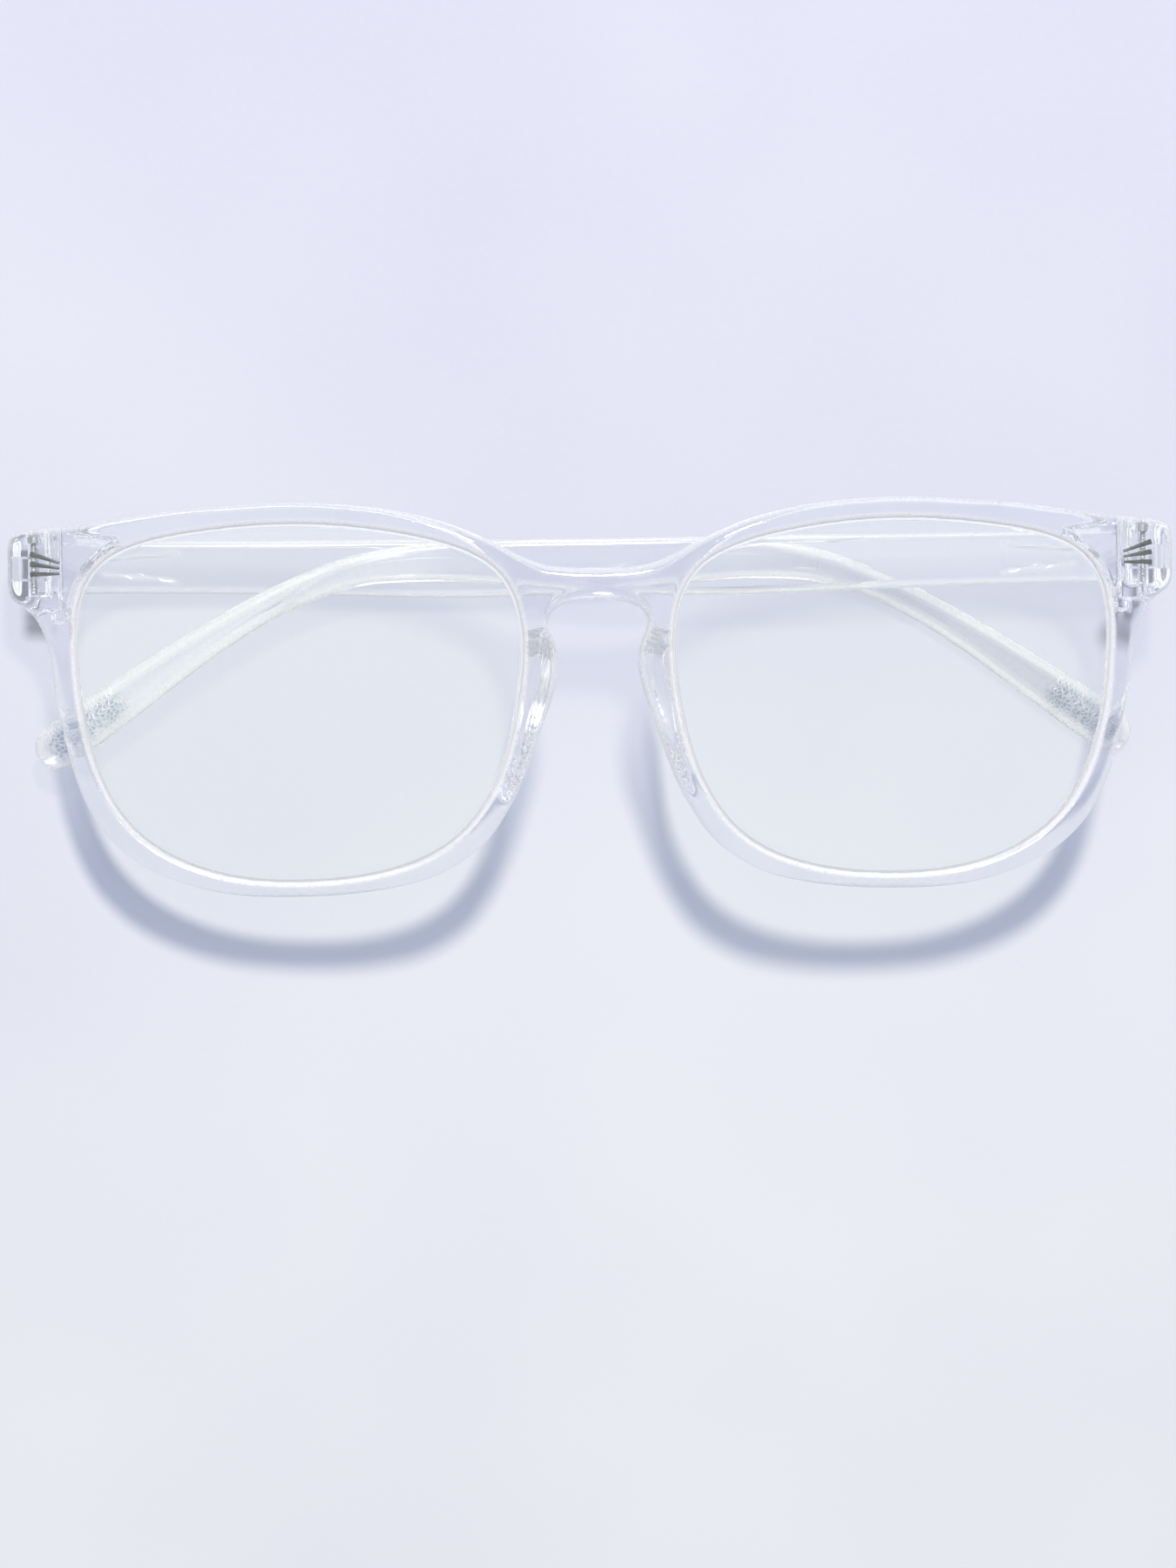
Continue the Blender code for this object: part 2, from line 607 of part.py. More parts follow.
def trim_frame(side, heights):
    """The place and axes of one inlay: along it, across it, and square to the face."""
    inner = Vector((side * TRIM_X[0], heights[0], face_height(TRIM_X[0], heights[0])))
    outer = Vector((side * TRIM_X[1], heights[1], face_height(TRIM_X[1], heights[1])))
    along = (outer - inner).normalized()
    across = Vector((0, 0, 1)).cross(along).normalized()
    matrix = Matrix((along, across, along.cross(across))).transposed().to_4x4()
    matrix.translation = (inner + outer) / 2
    return matrix, (outer - inner).length


def add_wedge(bm, matrix, length, gap, low, high):
    """A bar that is narrow at its lens end and wide at its outer end."""
    narrow, wide = (width / 2 + gap for width in TRIM_WIDTHS)
    reach = length / 2 + gap
    corners = [(-reach, -narrow), (reach, -wide), (reach, wide), (-reach, narrow)]
    loops = [[bm.verts.new(matrix @ Vector((x, y, z))) for x, y in corners] for z in (low, high)]
    join_loops(bm, loops)
    bm.faces.new(loops[0])
    bm.faces.new(loops[1])


def trim_pockets(parent):
    bm = bmesh.new()
    for side in (-1, 1):
        for heights in TRIM_BARS:
            matrix, length = trim_frame(side, heights)
            add_wedge(bm, matrix, length, TRIM_GAP, -TRIM_DEPTH - TRIM_GAP, MM)
    return as_cutter(new_object("pocket_guide", bm, None, parent))


def make_trim(name, side, heights, material, parent):
    bm = bmesh.new()
    matrix, length = trim_frame(side, heights)
    add_wedge(bm, matrix, length, 0, -TRIM_DEPTH, TRIM_PROUD)
    obj = new_object(name, bm, material, parent)
    bevel = obj.modifiers.new("bevel", "BEVEL")
    bevel.width = 0.06 * MM
    bevel.segments = 1
    return obj


# ---------------------------------------------------------------- the whole object

def principled(name, color, roughness, metallic=0.0, transmission=0.0, ior=1.5):
    material = bpy.data.materials.new(name)
    material.use_nodes = True
    shader = material.node_tree.nodes["Principled BSDF"]
    shader.inputs["Base Color"].default_value = (*color, 1)
    shader.inputs["Roughness"].default_value = roughness
    shader.inputs["Metallic"].default_value = metallic
    shader.inputs["Transmission Weight"].default_value = transmission
    shader.inputs["IOR"].default_value = ior
    return material


def main():
    for obj in list(bpy.data.objects):
        bpy.data.objects.remove(obj)
    clear_plastic = principled("clear_plastic", (0.94, 0.96, 0.98), 0.05, 0.0, 1.0, 1.5)
    lens_plastic = principled("lens_plastic", (0.93, 0.96, 0.96), 0.02, 0.0, 1.0, 1.55)
    trim_metal = principled("trim_metal", (0.2, 0.2, 0.21), 0.3, 1.0)
    screw_metal = principled("screw_metal", (0.4, 0.4, 0.41), 0.3, 1.0)

    front_plane = bpy.data.objects.new("front_plane", None)
    bpy.context.scene.collection.objects.link(front_plane)
    front_plane.rotation_euler = (0, -ROLL, 0)
    front_plane.location = (ORIGIN_X, ORIGIN_Y, TEMPLE_OUTER_FACE + TEMPLE_STACK / 2)

    make_front(clear_plastic, front_plane)
    for side, word in ((1, "left"), (-1, "right")):
        make_lens("lens_" + word, side, lens_plastic, front_plane)
        make_screw("hinge_screw_" + word, side, screw_metal, front_plane)
        for number, heights in enumerate(TRIM_BARS, 1):
            make_trim(f"trim_bar_{word}_{number}", side, heights, trim_metal, front_plane)
        hinge = Vector(front_plane.location)
        hinge += Vector((side * HINGE_X * math.cos(ROLL), 0, side * HINGE_X * math.sin(ROLL)))
        make_temple("temple_" + word, side, clear_plastic, hinge)


main()
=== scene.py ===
"""Looks of the folded clear eyeglasses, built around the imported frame. Metres, +Z up."""
import json
import math

import bmesh
import bpy
import numpy as np
from mathutils import Matrix, Vector
from mathutils.geometry import delaunay_2d_cdt
from mathutils.kdtree import KDTree


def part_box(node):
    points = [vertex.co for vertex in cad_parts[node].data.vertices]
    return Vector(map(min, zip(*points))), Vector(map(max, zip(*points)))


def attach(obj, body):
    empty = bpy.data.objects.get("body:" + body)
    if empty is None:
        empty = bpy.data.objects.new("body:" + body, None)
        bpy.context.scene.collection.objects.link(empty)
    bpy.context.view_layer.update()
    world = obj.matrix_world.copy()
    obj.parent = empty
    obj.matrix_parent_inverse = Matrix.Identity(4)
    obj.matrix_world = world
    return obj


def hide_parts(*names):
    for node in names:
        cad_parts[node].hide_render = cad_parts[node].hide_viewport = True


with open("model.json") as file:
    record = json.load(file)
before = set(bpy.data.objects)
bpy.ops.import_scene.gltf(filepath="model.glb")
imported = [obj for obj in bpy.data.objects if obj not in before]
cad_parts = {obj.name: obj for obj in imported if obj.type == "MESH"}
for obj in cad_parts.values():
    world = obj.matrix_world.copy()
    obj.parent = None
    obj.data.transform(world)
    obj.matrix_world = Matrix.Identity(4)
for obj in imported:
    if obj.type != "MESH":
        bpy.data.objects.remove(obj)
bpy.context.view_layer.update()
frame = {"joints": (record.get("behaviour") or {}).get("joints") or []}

MM = 0.001

# the lens opening, as points around the middle of the lens, in millimetres
LENS_CENTRE_X = 36.0 * MM
APERTURE_POINTS = [
    (0, 21.4), (12, 20.65), (22.2, 18.0), (26.2, 13.2), (26.9, 5), (25.4, -5.4), (20.2, -15.3), (10, -20.7),
    (0, -21.7), (-10, -20.6), (-19, -16.3), (-24.4, -7.8), (-26.5, 1.5), (-26.7, 9), (-23.6, 15.8), (-13, 20),
]
CURVE_STEPS = 48

# how far the front curves back from the middle of the bridge, as radii across and up
FACE_RADIUS_X = 400.0 * MM
FACE_RADIUS_Y = 300.0 * MM
FACE_ABOVE_HINGE = 14.8 * MM

RIM_THICKNESS = 4.0 * MM
RIM_EDGE_RADIUS = 1.1 * MM
APERTURE_BEVEL = 0.55 * MM
GROOVE_DEPTH = 0.9 * MM
GROOVE_HALF_WIDTH = 0.8 * MM
LENS_THICKNESS = 2.0 * MM
LENS_BEHIND_FACE = 1.9 * MM
LENS_BULGE = 1.2 * MM
LENS_BEVEL_REACH = 0.6 * MM
LENS_EDGE_GAP = 0.3 * MM

KNUCKLE_RADIUS = 2.2 * MM
KNUCKLE_CLEARANCE = 0.3 * MM
KNUCKLE_SPAN = (12.9 * MM, 20.1 * MM)
HINGE_SLOT = (14.8 * MM, 17.8 * MM)
TEMPLE_KNUCKLE = (15.1 * MM, 17.5 * MM)
BUTT_GAP = 0.25 * MM
BLOCK_RELIEF = 1.3 * MM
RELIEF_STEP = 2.8 * MM
BLOCK_INNER_X = 64.7 * MM

# the shoulder that joins each block to the lens corner: its span around the lens, its top and its depth
SHOULDER_ANGLES = (20, 41)
SHOULDER_TOP = [(57.4 * MM, 19.8 * MM), (61.0 * MM, 20.2 * MM), (65.4 * MM, 20.3 * MM)]
SHOULDER_OFF_LENS = 1.2 * MM
SHOULDER_DEPTH = 1.6 * MM
SHOULDER_ROOT = 1.5 * MM

# how deep the cut at each block goes, and how far cutters run past what they cut
BLOCK_CUT_DEPTH = 8.2 * MM
CUT_SPARE = 2 * MM
BARREL_SPARE = 0.2 * MM

SCREW_SPAN = (13.2 * MM, 19.95 * MM)
SCREW_HOLE_RADIUS = 0.7 * MM
SCREW_ROOT_RADIUS = 0.46 * MM
SCREW_THREAD_DEPTH = 0.14 * MM
SCREW_THREAD_PITCH = 0.4 * MM
SCREW_HEAD_RADIUS = 0.95 * MM
SCREW_HEAD_HEIGHT = 0.6 * MM
SCREW_SLOT_WIDTH = 0.3 * MM
SCREW_SLOT_DEPTH = 0.25 * MM
SCREW_SEAT_GAP = 0.1 * MM
SCREW_HEAD_ROUND = 0.18 * MM

PAD_DEPTH = 5.5 * MM
PAD_FLARE = 1.1 * MM

# each temple: place along it, height of its middle line, and its own height, in millimetres
TEMPLE_LINE = [
    (0.25, 16.5, 6.6), (12.0, 16.4, 6.5), (30.0, 16.15, 6.7), (50.0, 15.85, 7.3), (66.0, 16.0, 6.8),
    (80.0, 16.6, 5.4), (90.0, 16.5, 4.5), (98.0, 15.3, 3.8), (107.0, 11.8, 3.6), (116.0, 6.6, 4.2),
    (124.0, 1.2, 5.1), (130.0, -2.9, 5.6), (133.6, -5.4, 5.4),
]
TEMPLE_OUTER_FACE = 3.2 * MM
TEMPLE_THICKNESS_AT_HINGE = 3.9 * MM
TEMPLE_THICKNESS_AT_TIP = 2.3 * MM
TEMPLE_CHAMFER = (1.1 * MM, 0.7 * MM)
TEMPLE_THINNEST = 1.5 * MM

# the shallow scoop in a temple's inner face: from where to where, its half widths and its depth
SCOOP_SPAN = (7.6 * MM, 17.4 * MM)
SCOOP_HALF_WIDTHS = (0.8 * MM, 1.7 * MM)
SCOOP_DEPTH = 0.55 * MM

# the dark inlays: height at the lens end, height at the outer end
TRIM_BARS = [(17.1 * MM, 18.25 * MM), (16.45 * MM, 17.0 * MM), (15.8 * MM, 15.75 * MM)]
TRIM_X = (64.8 * MM, 68.3 * MM)
TRIM_WIDTHS = (0.28 * MM, 0.62 * MM)
TRIM_DEPTH = 0.5 * MM
TRIM_PROUD = 0.25 * MM
TRIM_GAP = 0.03 * MM
TRIM_BEVEL = 0.09 * MM

# One half of the front's outer outline, from the top of the bridge over the endpiece and the bottom
# to the arch over the nose. Each row is the angle around the lens where that place faces it, then
# either a rim width or a place of its own, and how much of an endpiece or a nose pad it is.
RIM, AT = "rim", "at"
OUTLINE = [
    (143, AT, (0.0, 15.75), 0, 0), (139, AT, (3.3, 15.85), 0, 0), (135, AT, (6.5, 16.3), 0, 0),
    (131, AT, (9.5, 17.5), 0, 0), (126, AT, (12.6, 19.1), 0, 0), (122.5, AT, (18.2, 21.45), 0, 0),
    (119, RIM, 2.65, 0, 0), (110, RIM, 2.65, 0, 0), (100, RIM, 2.6, 0, 0), (90, RIM, 2.6, 0, 0),
    (79, RIM, 2.6, 0, 0), (67, RIM, 2.65, 0, 0), (57, RIM, 2.95, 0, 0),
    (48, AT, (57.3, 22.45), 0, 0), (42, AT, (61.8, 21.8), 0.25, 0), (37.5, AT, (65.6, 21.35), 0.95, 0),
    (34.5, AT, (68.9, 21.0), 1, 0), (32.5, AT, (70.5, 20.5), 1, 0), (30.5, AT, (71.1, 19.3), 1, 0),
    (27, AT, (71.15, 16.6), 1, 0), (23.5, AT, (71.1, 13.9), 1, 0), (21, AT, (70.5, 12.6), 1, 0),
    (18.5, AT, (69.2, 11.7), 1, 0), (16, AT, (67.9, 10.5), 0.7, 0), (13, AT, (66.9, 8.5), 0.1, 0),
    (9, AT, (66.2, 6.0), 0, 0),
    (3, RIM, 2.95, 0, 0), (-5, RIM, 2.75, 0, 0), (-14, RIM, 2.8, 0, 0), (-24, RIM, 2.95, 0, 0),
    (-34, RIM, 3.0, 0, 0), (-45, RIM, 2.8, 0, 0), (-58, RIM, 2.4, 0, 0), (-72, RIM, 2.1, 0, 0),
    (-88, RIM, 1.9, 0, 0), (-104, RIM, 1.95, 0, 0), (-118, RIM, 2.2, 0, 0), (-130, RIM, 2.6, 0, 0),
    (-142, RIM, 2.85, 0, 0), (-153, RIM, 2.8, 0, 0.1), (-162, RIM, 2.9, 0, 0.5),
    (-171, AT, (6.9, -3.4), 0, 0.9), (-178, AT, (5.5, 0.6), 0, 1), (-184, AT, (4.9, 4.0), 0, 1),
    (-189, AT, (5.2, 6.7), 0, 0.7), (-193, AT, (6.0, 8.5), 0, 0.25), (-196, AT, (6.0, 9.8), 0, 0),
    (-199, AT, (4.9, 11.0), 0, 0), (-202, AT, (2.8, 11.75), 0, 0), (-205, AT, (0.0, 11.95), 0, 0),
]
OUTLINE_SPACING = 0.7 * MM

# how far out from the lens opening the painted white highlight and the rougher finish reach, from full to
# none
APERTURE_HIGHLIGHT_BAND = (0.45 * MM, 0.8 * MM)

# how far in from their outer edges the front and the temples get a painted highlight, and how strongly
FRONT_EDGE_BAND = (0.35 * MM, 0.85 * MM)
TEMPLE_EDGE_BAND = (0.25 * MM, 0.75 * MM)
BENT_EDGE_BAND = (0.7 * MM, 1.7 * MM)
BENT_FROM = (78 * MM, 98 * MM)
TEMPLE_EDGE_FROM = 5 * MM
EDGE_GLOW = 0.65
# between these heights the painted highlight on the front's outer edge fades in, from none at the lower to
# full at the upper
EDGE_GLOW_HEIGHTS = (-17 * MM, -7 * MM)
SCOOP_EDGE_BAND = (0.12 * MM, 0.4 * MM)

# the moulded look of the front
VOXEL = 0.26 * MM
SMOOTH_PASSES = 9
SHARP_ANGLE = math.radians(38)

HINGES = {joint["name"]: Vector(joint["pos_m"]) for joint in frame["joints"]}
HINGE_X = (HINGES["hinge_left"] - HINGES["hinge_right"]).length / 2
ORIGIN_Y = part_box("hinge_screw_left")[1].y - SCREW_SPAN[1]


def front_matrix():
    """Where the front's own plane is: between the two hinges, and rolled with the line that joins them."""
    left, right = HINGES["hinge_left"], HINGES["hinge_right"]
    middle = (left + right) / 2
    roll = math.atan2(left.z - right.z, left.x - right.x)
    middle.y = ORIGIN_Y
    return Matrix.Translation(middle) @ Matrix.Rotation(-roll, 4, "Y")


FRONT = front_matrix()


# ---------------------------------------------------------------- curves

def closed_curve(points):
    """A dense loop through the points, as a cubic spline whose curvature has no jumps."""
    points = np.array(points, float) * MM
    count = len(points)
    spans = np.sqrt(np.linalg.norm(np.roll(points, -1, axis=0) - points, axis=1))
    system, right = np.zeros((count, count)), np.zeros((count, 2))
    for i in range(count):
        ahead = (i + 1) % count
        system[i, i - 1] = spans[i - 1] / 6
        system[i, i] = (spans[i - 1] + spans[i]) / 3
        system[i, ahead] = spans[i] / 6
        right[i] = (points[ahead] - points[i]) / spans[i] - (points[i] - points[i - 1]) / spans[i - 1]
    bends = np.linalg.solve(system, right)
    out = []
    for i in range(count):
        ahead = (i + 1) % count
        for b in np.arange(CURVE_STEPS) / CURVE_STEPS:
            a = 1 - b
            bent = (a ** 3 - a) * bends[i] + (b ** 3 - b) * bends[ahead]
            out.append(a * points[i] + b * points[ahead] + bent * spans[i] ** 2 / 6)
    return np.array(out)


def polar(points):
    """The same loop as angles in rising order and the radius at each."""
    angles = np.arctan2(points[:, 1], points[:, 0])
    order = np.argsort(angles)
    return angles[order], np.linalg.norm(points, axis=1)[order]


APERTURE_ANGLES, APERTURE_RADII = polar(closed_curve(APERTURE_POINTS))


def aperture_point(angle, outwards=0.0):
    """A point of the opening's edge in the front's plane, moved outwards square to the edge."""
    step = 0.02

    def plain(at):
        radius = np.interp(at, APERTURE_ANGLES, APERTURE_RADII, period=2 * math.pi)
        return np.array([LENS_CENTRE_X + radius * math.cos(at), radius * math.sin(at)])

    along = plain(angle + step) - plain(angle - step)
    normal = np.array([along[1], -along[0]]) / np.hypot(*along)
    return plain(angle) + outwards * normal


def catmull(p0, p1, p2, p3, t):
    """A smooth step from p1 to p2."""
    return 0.5 * (2 * p1 + (p2 - p0) * t + (2 * p0 - 5 * p1 + 4 * p2 - p3) * t ** 2
                  + (3 * p1 - p0 - 3 * p2 + p3) * t ** 3)


def smooth_path(rows, spacing, before, after):
    """Rows of numbers, joined by a smooth curve with about one row per spacing of x and y."""
    rows = [before] + list(rows) + [after]
    out = []
    for i in range(1, len(rows) - 2):
        length = np.hypot(*(rows[i + 1][:2] - rows[i][:2]))
        count = max(1, round(length / spacing))
        out += [catmull(rows[i - 1], rows[i], rows[i + 1], rows[i + 2], k / count) for k in range(count)]
    out.append(rows[-2])
    return out


def smooth_step(value, low, high):
    """0 below low, 1 above high, and a soft S between them."""
    share = min(max((value - low) / (high - low), 0.0), 1.0)
    return share * share * (3 - 2 * share)


def face_height(x, y):
    """How high the front's face is above the hinge axes, in the front's own plane."""
    return FACE_ABOVE_HINGE - x * x / (2 * FACE_RADIUS_X) - y * y / (2 * FACE_RADIUS_Y)


def back_height(x, y):
    return face_height(x, y) - RIM_THICKNESS


# ---------------------------------------------------------------- meshes and objects

def new_object(name, bm, matrix=Matrix.Identity(4)):
    """An object at the world's origin, with its place in its mesh."""
    bmesh.ops.transform(bm, matrix=matrix, verts=bm.verts)
    bmesh.ops.recalc_face_normals(bm, faces=bm.faces)
    if bm.calc_volume(signed=True) < 0:
        bmesh.ops.reverse_faces(bm, faces=bm.faces)
    mesh = bpy.data.meshes.new(name)
    bm.to_mesh(mesh)
    bm.free()
    obj = bpy.data.objects.new(name, mesh)
    bpy.context.scene.collection.objects.link(obj)
    return obj


def bake(obj):
    """Turns the object's modifiers into its mesh."""
    graph = bpy.context.evaluated_depsgraph_get()
    baked = bpy.data.meshes.new_from_object(obj.evaluated_get(graph))
    obj.modifiers.clear()
    plain = obj.data
    obj.data = baked
    bpy.data.meshes.remove(plain)
    baked.name = obj.name


def boolean(obj, other, operation):
    """Joins the other object to this one or cuts it out, and then removes it."""
    modifier = obj.modifiers.new(operation.lower(), "BOOLEAN")
    modifier.operation = operation
    modifier.solver = "EXACT"
    modifier.object = other
    bake(obj)
    bpy.data.objects.remove(other)


def shade(obj, angle=SHARP_ANGLE):
    obj.data.shade_smooth()
    obj.data.set_sharp_from_angle(angle=angle)


def join_loops(bm, loops):
    """Quads between neighbouring loops of vertices."""
    for one, two in zip(loops, loops[1:]):
        for k in range(len(one)):
            ahead = (k + 1) % len(one)
            bm.faces.new((one[k], one[ahead], two[ahead], two[k]))


def lathe(bm, centre, profile, turns=40):
    """A closed turned shape along Y: rings of (radius, y) around the axis through the centre."""
    loops = []
    for radius, y in profile:
        ring = []
        for k in range(turns):
            turn = 2 * math.pi * k / turns
            place = (centre[0] + radius * math.cos(turn), y, centre[1] + radius * math.sin(turn))
            ring.append(bm.verts.new(place))
        loops.append(ring)
    join_loops(bm, loops)
    bm.faces.new(loops[0])
    bm.faces.new(loops[-1])


# ---------------------------------------------------------------- the front

def outline_rows(spacing=OUTLINE_SPACING):
    """Outer x and y, rim width, endpiece share and pad share along the half outline."""
    rows = []
    for degrees, kind, where, endpiece, pad in OUTLINE:
        angle = math.radians(degrees)
        outer = aperture_point(angle, where * MM) if kind == RIM else np.array(where) * MM
        width = np.hypot(*(outer - aperture_point(angle)))
        rows.append(np.array([outer[0], outer[1], width, endpiece, pad]))
    mirrored = np.array([-1, 1, 1, 1, 1])
    path = smooth_path(rows, spacing, rows[1] * mirrored, rows[-2] * mirrored)
    for row in path:
        row[3:] = np.clip(row[3:], 0, 1)
    path[0][0] = path[-1][0] = 0
    return path


def loop_normals(points):
    """The direction out of a closed loop at each of its points, for a loop that runs clockwise."""
    ahead, behind = np.roll(points, -1, axis=0), np.roll(points, 1, axis=0)
    along = (ahead - points) / np.linalg.norm(ahead - points, axis=1)[:, None]
    along += (points - behind) / np.linalg.norm(points - behind, axis=1)[:, None]
    along /= np.linalg.norm(along, axis=1)[:, None]
    return np.stack([-along[:, 1], along[:, 0]], axis=1)


def full_outline():
    """The whole outer outline, clockwise from the top of the bridge."""
    half = np.array([row[:2] for row in outline_rows()])
    other = half[-2:0:-1] * np.array([-1, 1])
    return np.concatenate([half, other])


def wall_loops(bm, points, normals, levels):
    """One loop of vertices for each level: how far inwards it lies, and its height function."""
    loops = []
    for inwards, height in levels:
        moved = points - normals * inwards
        loops.append([bm.verts.new((x, y, height(x, y))) for x, y in moved])
    return loops


def fill_between(bm, outer, holes):
    """Triangles that fill the face inside one loop and outside the others, which are all convex."""
    loops = [outer] + holes
    verts = [vert for loop in loops for vert in loop]
    flat = [Vector((vert.co.x, vert.co.y)) for vert in verts]
    edges, owner = [], []
    for number, loop in enumerate(loops):
        first = len(owner)
        edges += [(first + k, first + (k + 1) % len(loop)) for k in range(len(loop))]
        owner += [number] * len(loop)
    inside_the_edges = 1
    found = delaunay_2d_cdt(flat, edges, [], inside_the_edges, 1e-9)
    for corners in found[2]:
        corners = [found[3][corner][0] for corner in corners]
        owners = {owner[corner] for corner in corners}
        if len(owners) > 1 or owners == {0}:
            bm.faces.new([verts[corner] for corner in corners])


def rounded_levels(radius, steps):
    """Levels over a rounded edge of the rim, from the face down its side and to the back."""
    levels = []
    for k in range(steps + 1):
        turn = math.pi / 2 * k / steps
        inwards, down = radius * (1 - math.sin(turn)), radius * (1 - math.cos(turn))
        levels.append((inwards, lambda x, y, down=down: face_height(x, y) - down))
    backs = [(inwards, lambda x, y, height=height: 2 * face_height(x, y) - RIM_THICKNESS - height(x, y))
             for inwards, height in reversed(levels)]
    return levels + backs


def add_plate(bm):
    """The flat of the front with its rounded outer edge, both lens openings and their grooves."""
    outline = full_outline()
    outer = wall_loops(bm, outline, loop_normals(outline), rounded_levels(RIM_EDGE_RADIUS, 5))
    join_loops(bm, outer)

    def lens(x, y, up):
        return face_height(x, y) - LENS_BEHIND_FACE + up * GROOVE_HALF_WIDTH

    angles = -np.linspace(0, 2 * math.pi, 260, endpoint=False)
    fronts, backs = [], []
    for side in (1, -1):
        hole = np.array([aperture_point(angle) for angle in angles[::side]]) * np.array([side, 1])
        loops = wall_loops(bm, hole, -loop_normals(hole), [
            (APERTURE_BEVEL, face_height), (0, lambda x, y: face_height(x, y) - APERTURE_BEVEL),
            (0, lambda x, y: lens(x, y, 1)), (GROOVE_DEPTH, lambda x, y: lens(x, y, 0)),
            (0, lambda x, y: lens(x, y, -1)),
            (0, lambda x, y: back_height(x, y) + APERTURE_BEVEL), (APERTURE_BEVEL, back_height)])
        join_loops(bm, loops)
        fronts.append(loops[0])
        backs.append(loops[-1])
    fill_between(bm, outer[0], fronts)
    fill_between(bm, outer[-1], backs)


def add_blocks(bm):
    """The deep corner behind each end of the front, which reaches back to the hinge."""
    edge = np.array([row[:2] for row in outline_rows() if row[3] > 0.8])
    normals = loop_normals(edge)
    bevel = 0.6 * MM
    for side in (1, -1):
        levels = [(0, FACE_ABOVE_HINGE - BLOCK_CUT_DEPTH, 0), (0, BLOCK_RELIEF, 0),
                  (0, BLOCK_RELIEF, RELIEF_STEP),
                  (0, BUTT_GAP + bevel, RELIEF_STEP), (bevel / 2, BUTT_GAP, RELIEF_STEP)]
        loops = []
        for inwards, height, step in levels:
            moved = edge[1:-1] - normals[1:-1] * inwards
            low, high = moved[-1][1], moved[0][1]
            ring = [*moved, (BLOCK_INNER_X + step, low), (BLOCK_INNER_X + step, high)]
            loops.append([bm.verts.new((side * x, y, height)) for x, y in ring])
        join_loops(bm, loops)
        bm.faces.new(loops[0])
        bm.faces.new(loops[-1])


def add_shoulders(bm):
    """The thicker ground between each block and the corner of the lens."""
    low, high = (math.radians(angle) for angle in SHOULDER_ANGLES)
    lens_side = [aperture_point(angle, SHOULDER_OFF_LENS) for angle in np.linspace(low, high, 17)]
    ring = [*lens_side, *SHOULDER_TOP, (SHOULDER_TOP[-1][0], lens_side[0][1])]
    for side in (1, -1):
        loops = []
        for depth in (SHOULDER_ROOT - RIM_THICKNESS, SHOULDER_DEPTH):
            loops.append([bm.verts.new((side * x, y, back_height(x, y) - depth)) for x, y in ring])
        join_loops(bm, loops)
        bm.faces.new(loops[0])
        bm.faces.new(loops[-1])


def add_pads(bm):
    """The moulded pads, which run back from the nose side of each rim and lean outwards."""
    rows = [row for row in outline_rows() if row[4] > 0.06]
    points = np.array([row[:2] for row in rows])
    normals = loop_normals(points)[1:-1]
    for side in (1, -1):
        loops = []
        for (x, y, width, _, pad), out in zip(rows[1:-1], normals):
            face, back = face_height(x, y), back_height(x, y)
            root = min(3.0 * MM, width - 1.3 * MM)
            tip = back - 0.3 * MM - PAD_DEPTH * pad
            lean = PAD_FLARE * pad
            section = [(0.5 * MM, face - 1.3 * MM), (0.02 * MM, back + 1.2 * MM),
                       (0.25 * MM + 0.3 * lean, back - 0.35 * (back - tip)),
                       (0.25 * MM + lean, tip + 0.7 * MM),
                       (0.8 * MM + lean, tip), (root - 0.9 * MM + lean, tip + 0.1 * MM),
                       (root - 0.3 * MM + lean, tip + 0.9 * MM), (root, back - 0.2 * MM),
                       (root - 0.1 * MM, back + 0.8 * MM)]
            loop = []
            for inwards, height in section:
                moved = np.array([x, y]) - out * inwards
                loop.append(bm.verts.new((side * moved[0], moved[1], height)))
            loops.append(loop)
        join_loops(bm, loops)
        bm.faces.new(loops[0])
        bm.faces.new(loops[-1])


def trim_frame(side, heights):
    """The place and axes of one inlay: along it, across it, and square to the face."""
    inner = Vector((side * TRIM_X[0], heights[0], face_height(TRIM_X[0], heights[0])))
    outer = Vector((side * TRIM_X[1], heights[1], face_height(TRIM_X[1], heights[1])))
    along = (outer - inner).normalized()
    across = Vector((0, 0, 1)).cross(along).normalized()
    matrix = Matrix((along, across, along.cross(across))).transposed().to_4x4()
    matrix.translation = (inner + outer) / 2
    return matrix, (outer - inner).length


def add_wedge(bm, matrix, length, gap, low, high):
    """A bar that is narrow at its lens end and wide at its outer end."""
    narrow, wide = (width / 2 + gap for width in TRIM_WIDTHS)
    reach = length / 2 + gap
    corners = [(-reach, -narrow), (reach, -wide), (reach, wide), (-reach, narrow)]
    loops = [[bm.verts.new(matrix @ Vector((x, y, z))) for x, y in corners] for z in (low, high)]
    join_loops(bm, loops)
    bm.faces.new(loops[0])
    bm.faces.new(loops[1])


def front_cutter():
    """The hinge slots with the screw holes, and the pockets of the inlays."""
    bm = bmesh.new()
    slot = KNUCKLE_RADIUS + KNUCKLE_CLEARANCE
    seat = SCREW_HEAD_RADIUS + SCREW_SEAT_GAP
    seat_from = SCREW_SPAN[1] - SCREW_HEAD_HEIGHT - SCREW_SEAT_GAP
    for side in (1, -1):
        lathe(bm, (side * HINGE_X, 0), [
            (SCREW_HOLE_RADIUS, KNUCKLE_SPAN[0] - MM), (SCREW_HOLE_RADIUS, HINGE_SLOT[0]),
            (slot, HINGE_SLOT[0]), (slot, HINGE_SLOT[1]), (SCREW_HOLE_RADIUS, HINGE_SLOT[1]),
            (SCREW_HOLE_RADIUS, seat_from), (seat, seat_from), (seat, SCREW_SPAN[1] + MM)])
        for heights in TRIM_BARS:
            matrix, length = trim_frame(side, heights)
            add_wedge(bm, matrix, length, TRIM_GAP, -TRIM_DEPTH - TRIM_GAP, MM)
    return new_object("front_cutter", bm, FRONT)


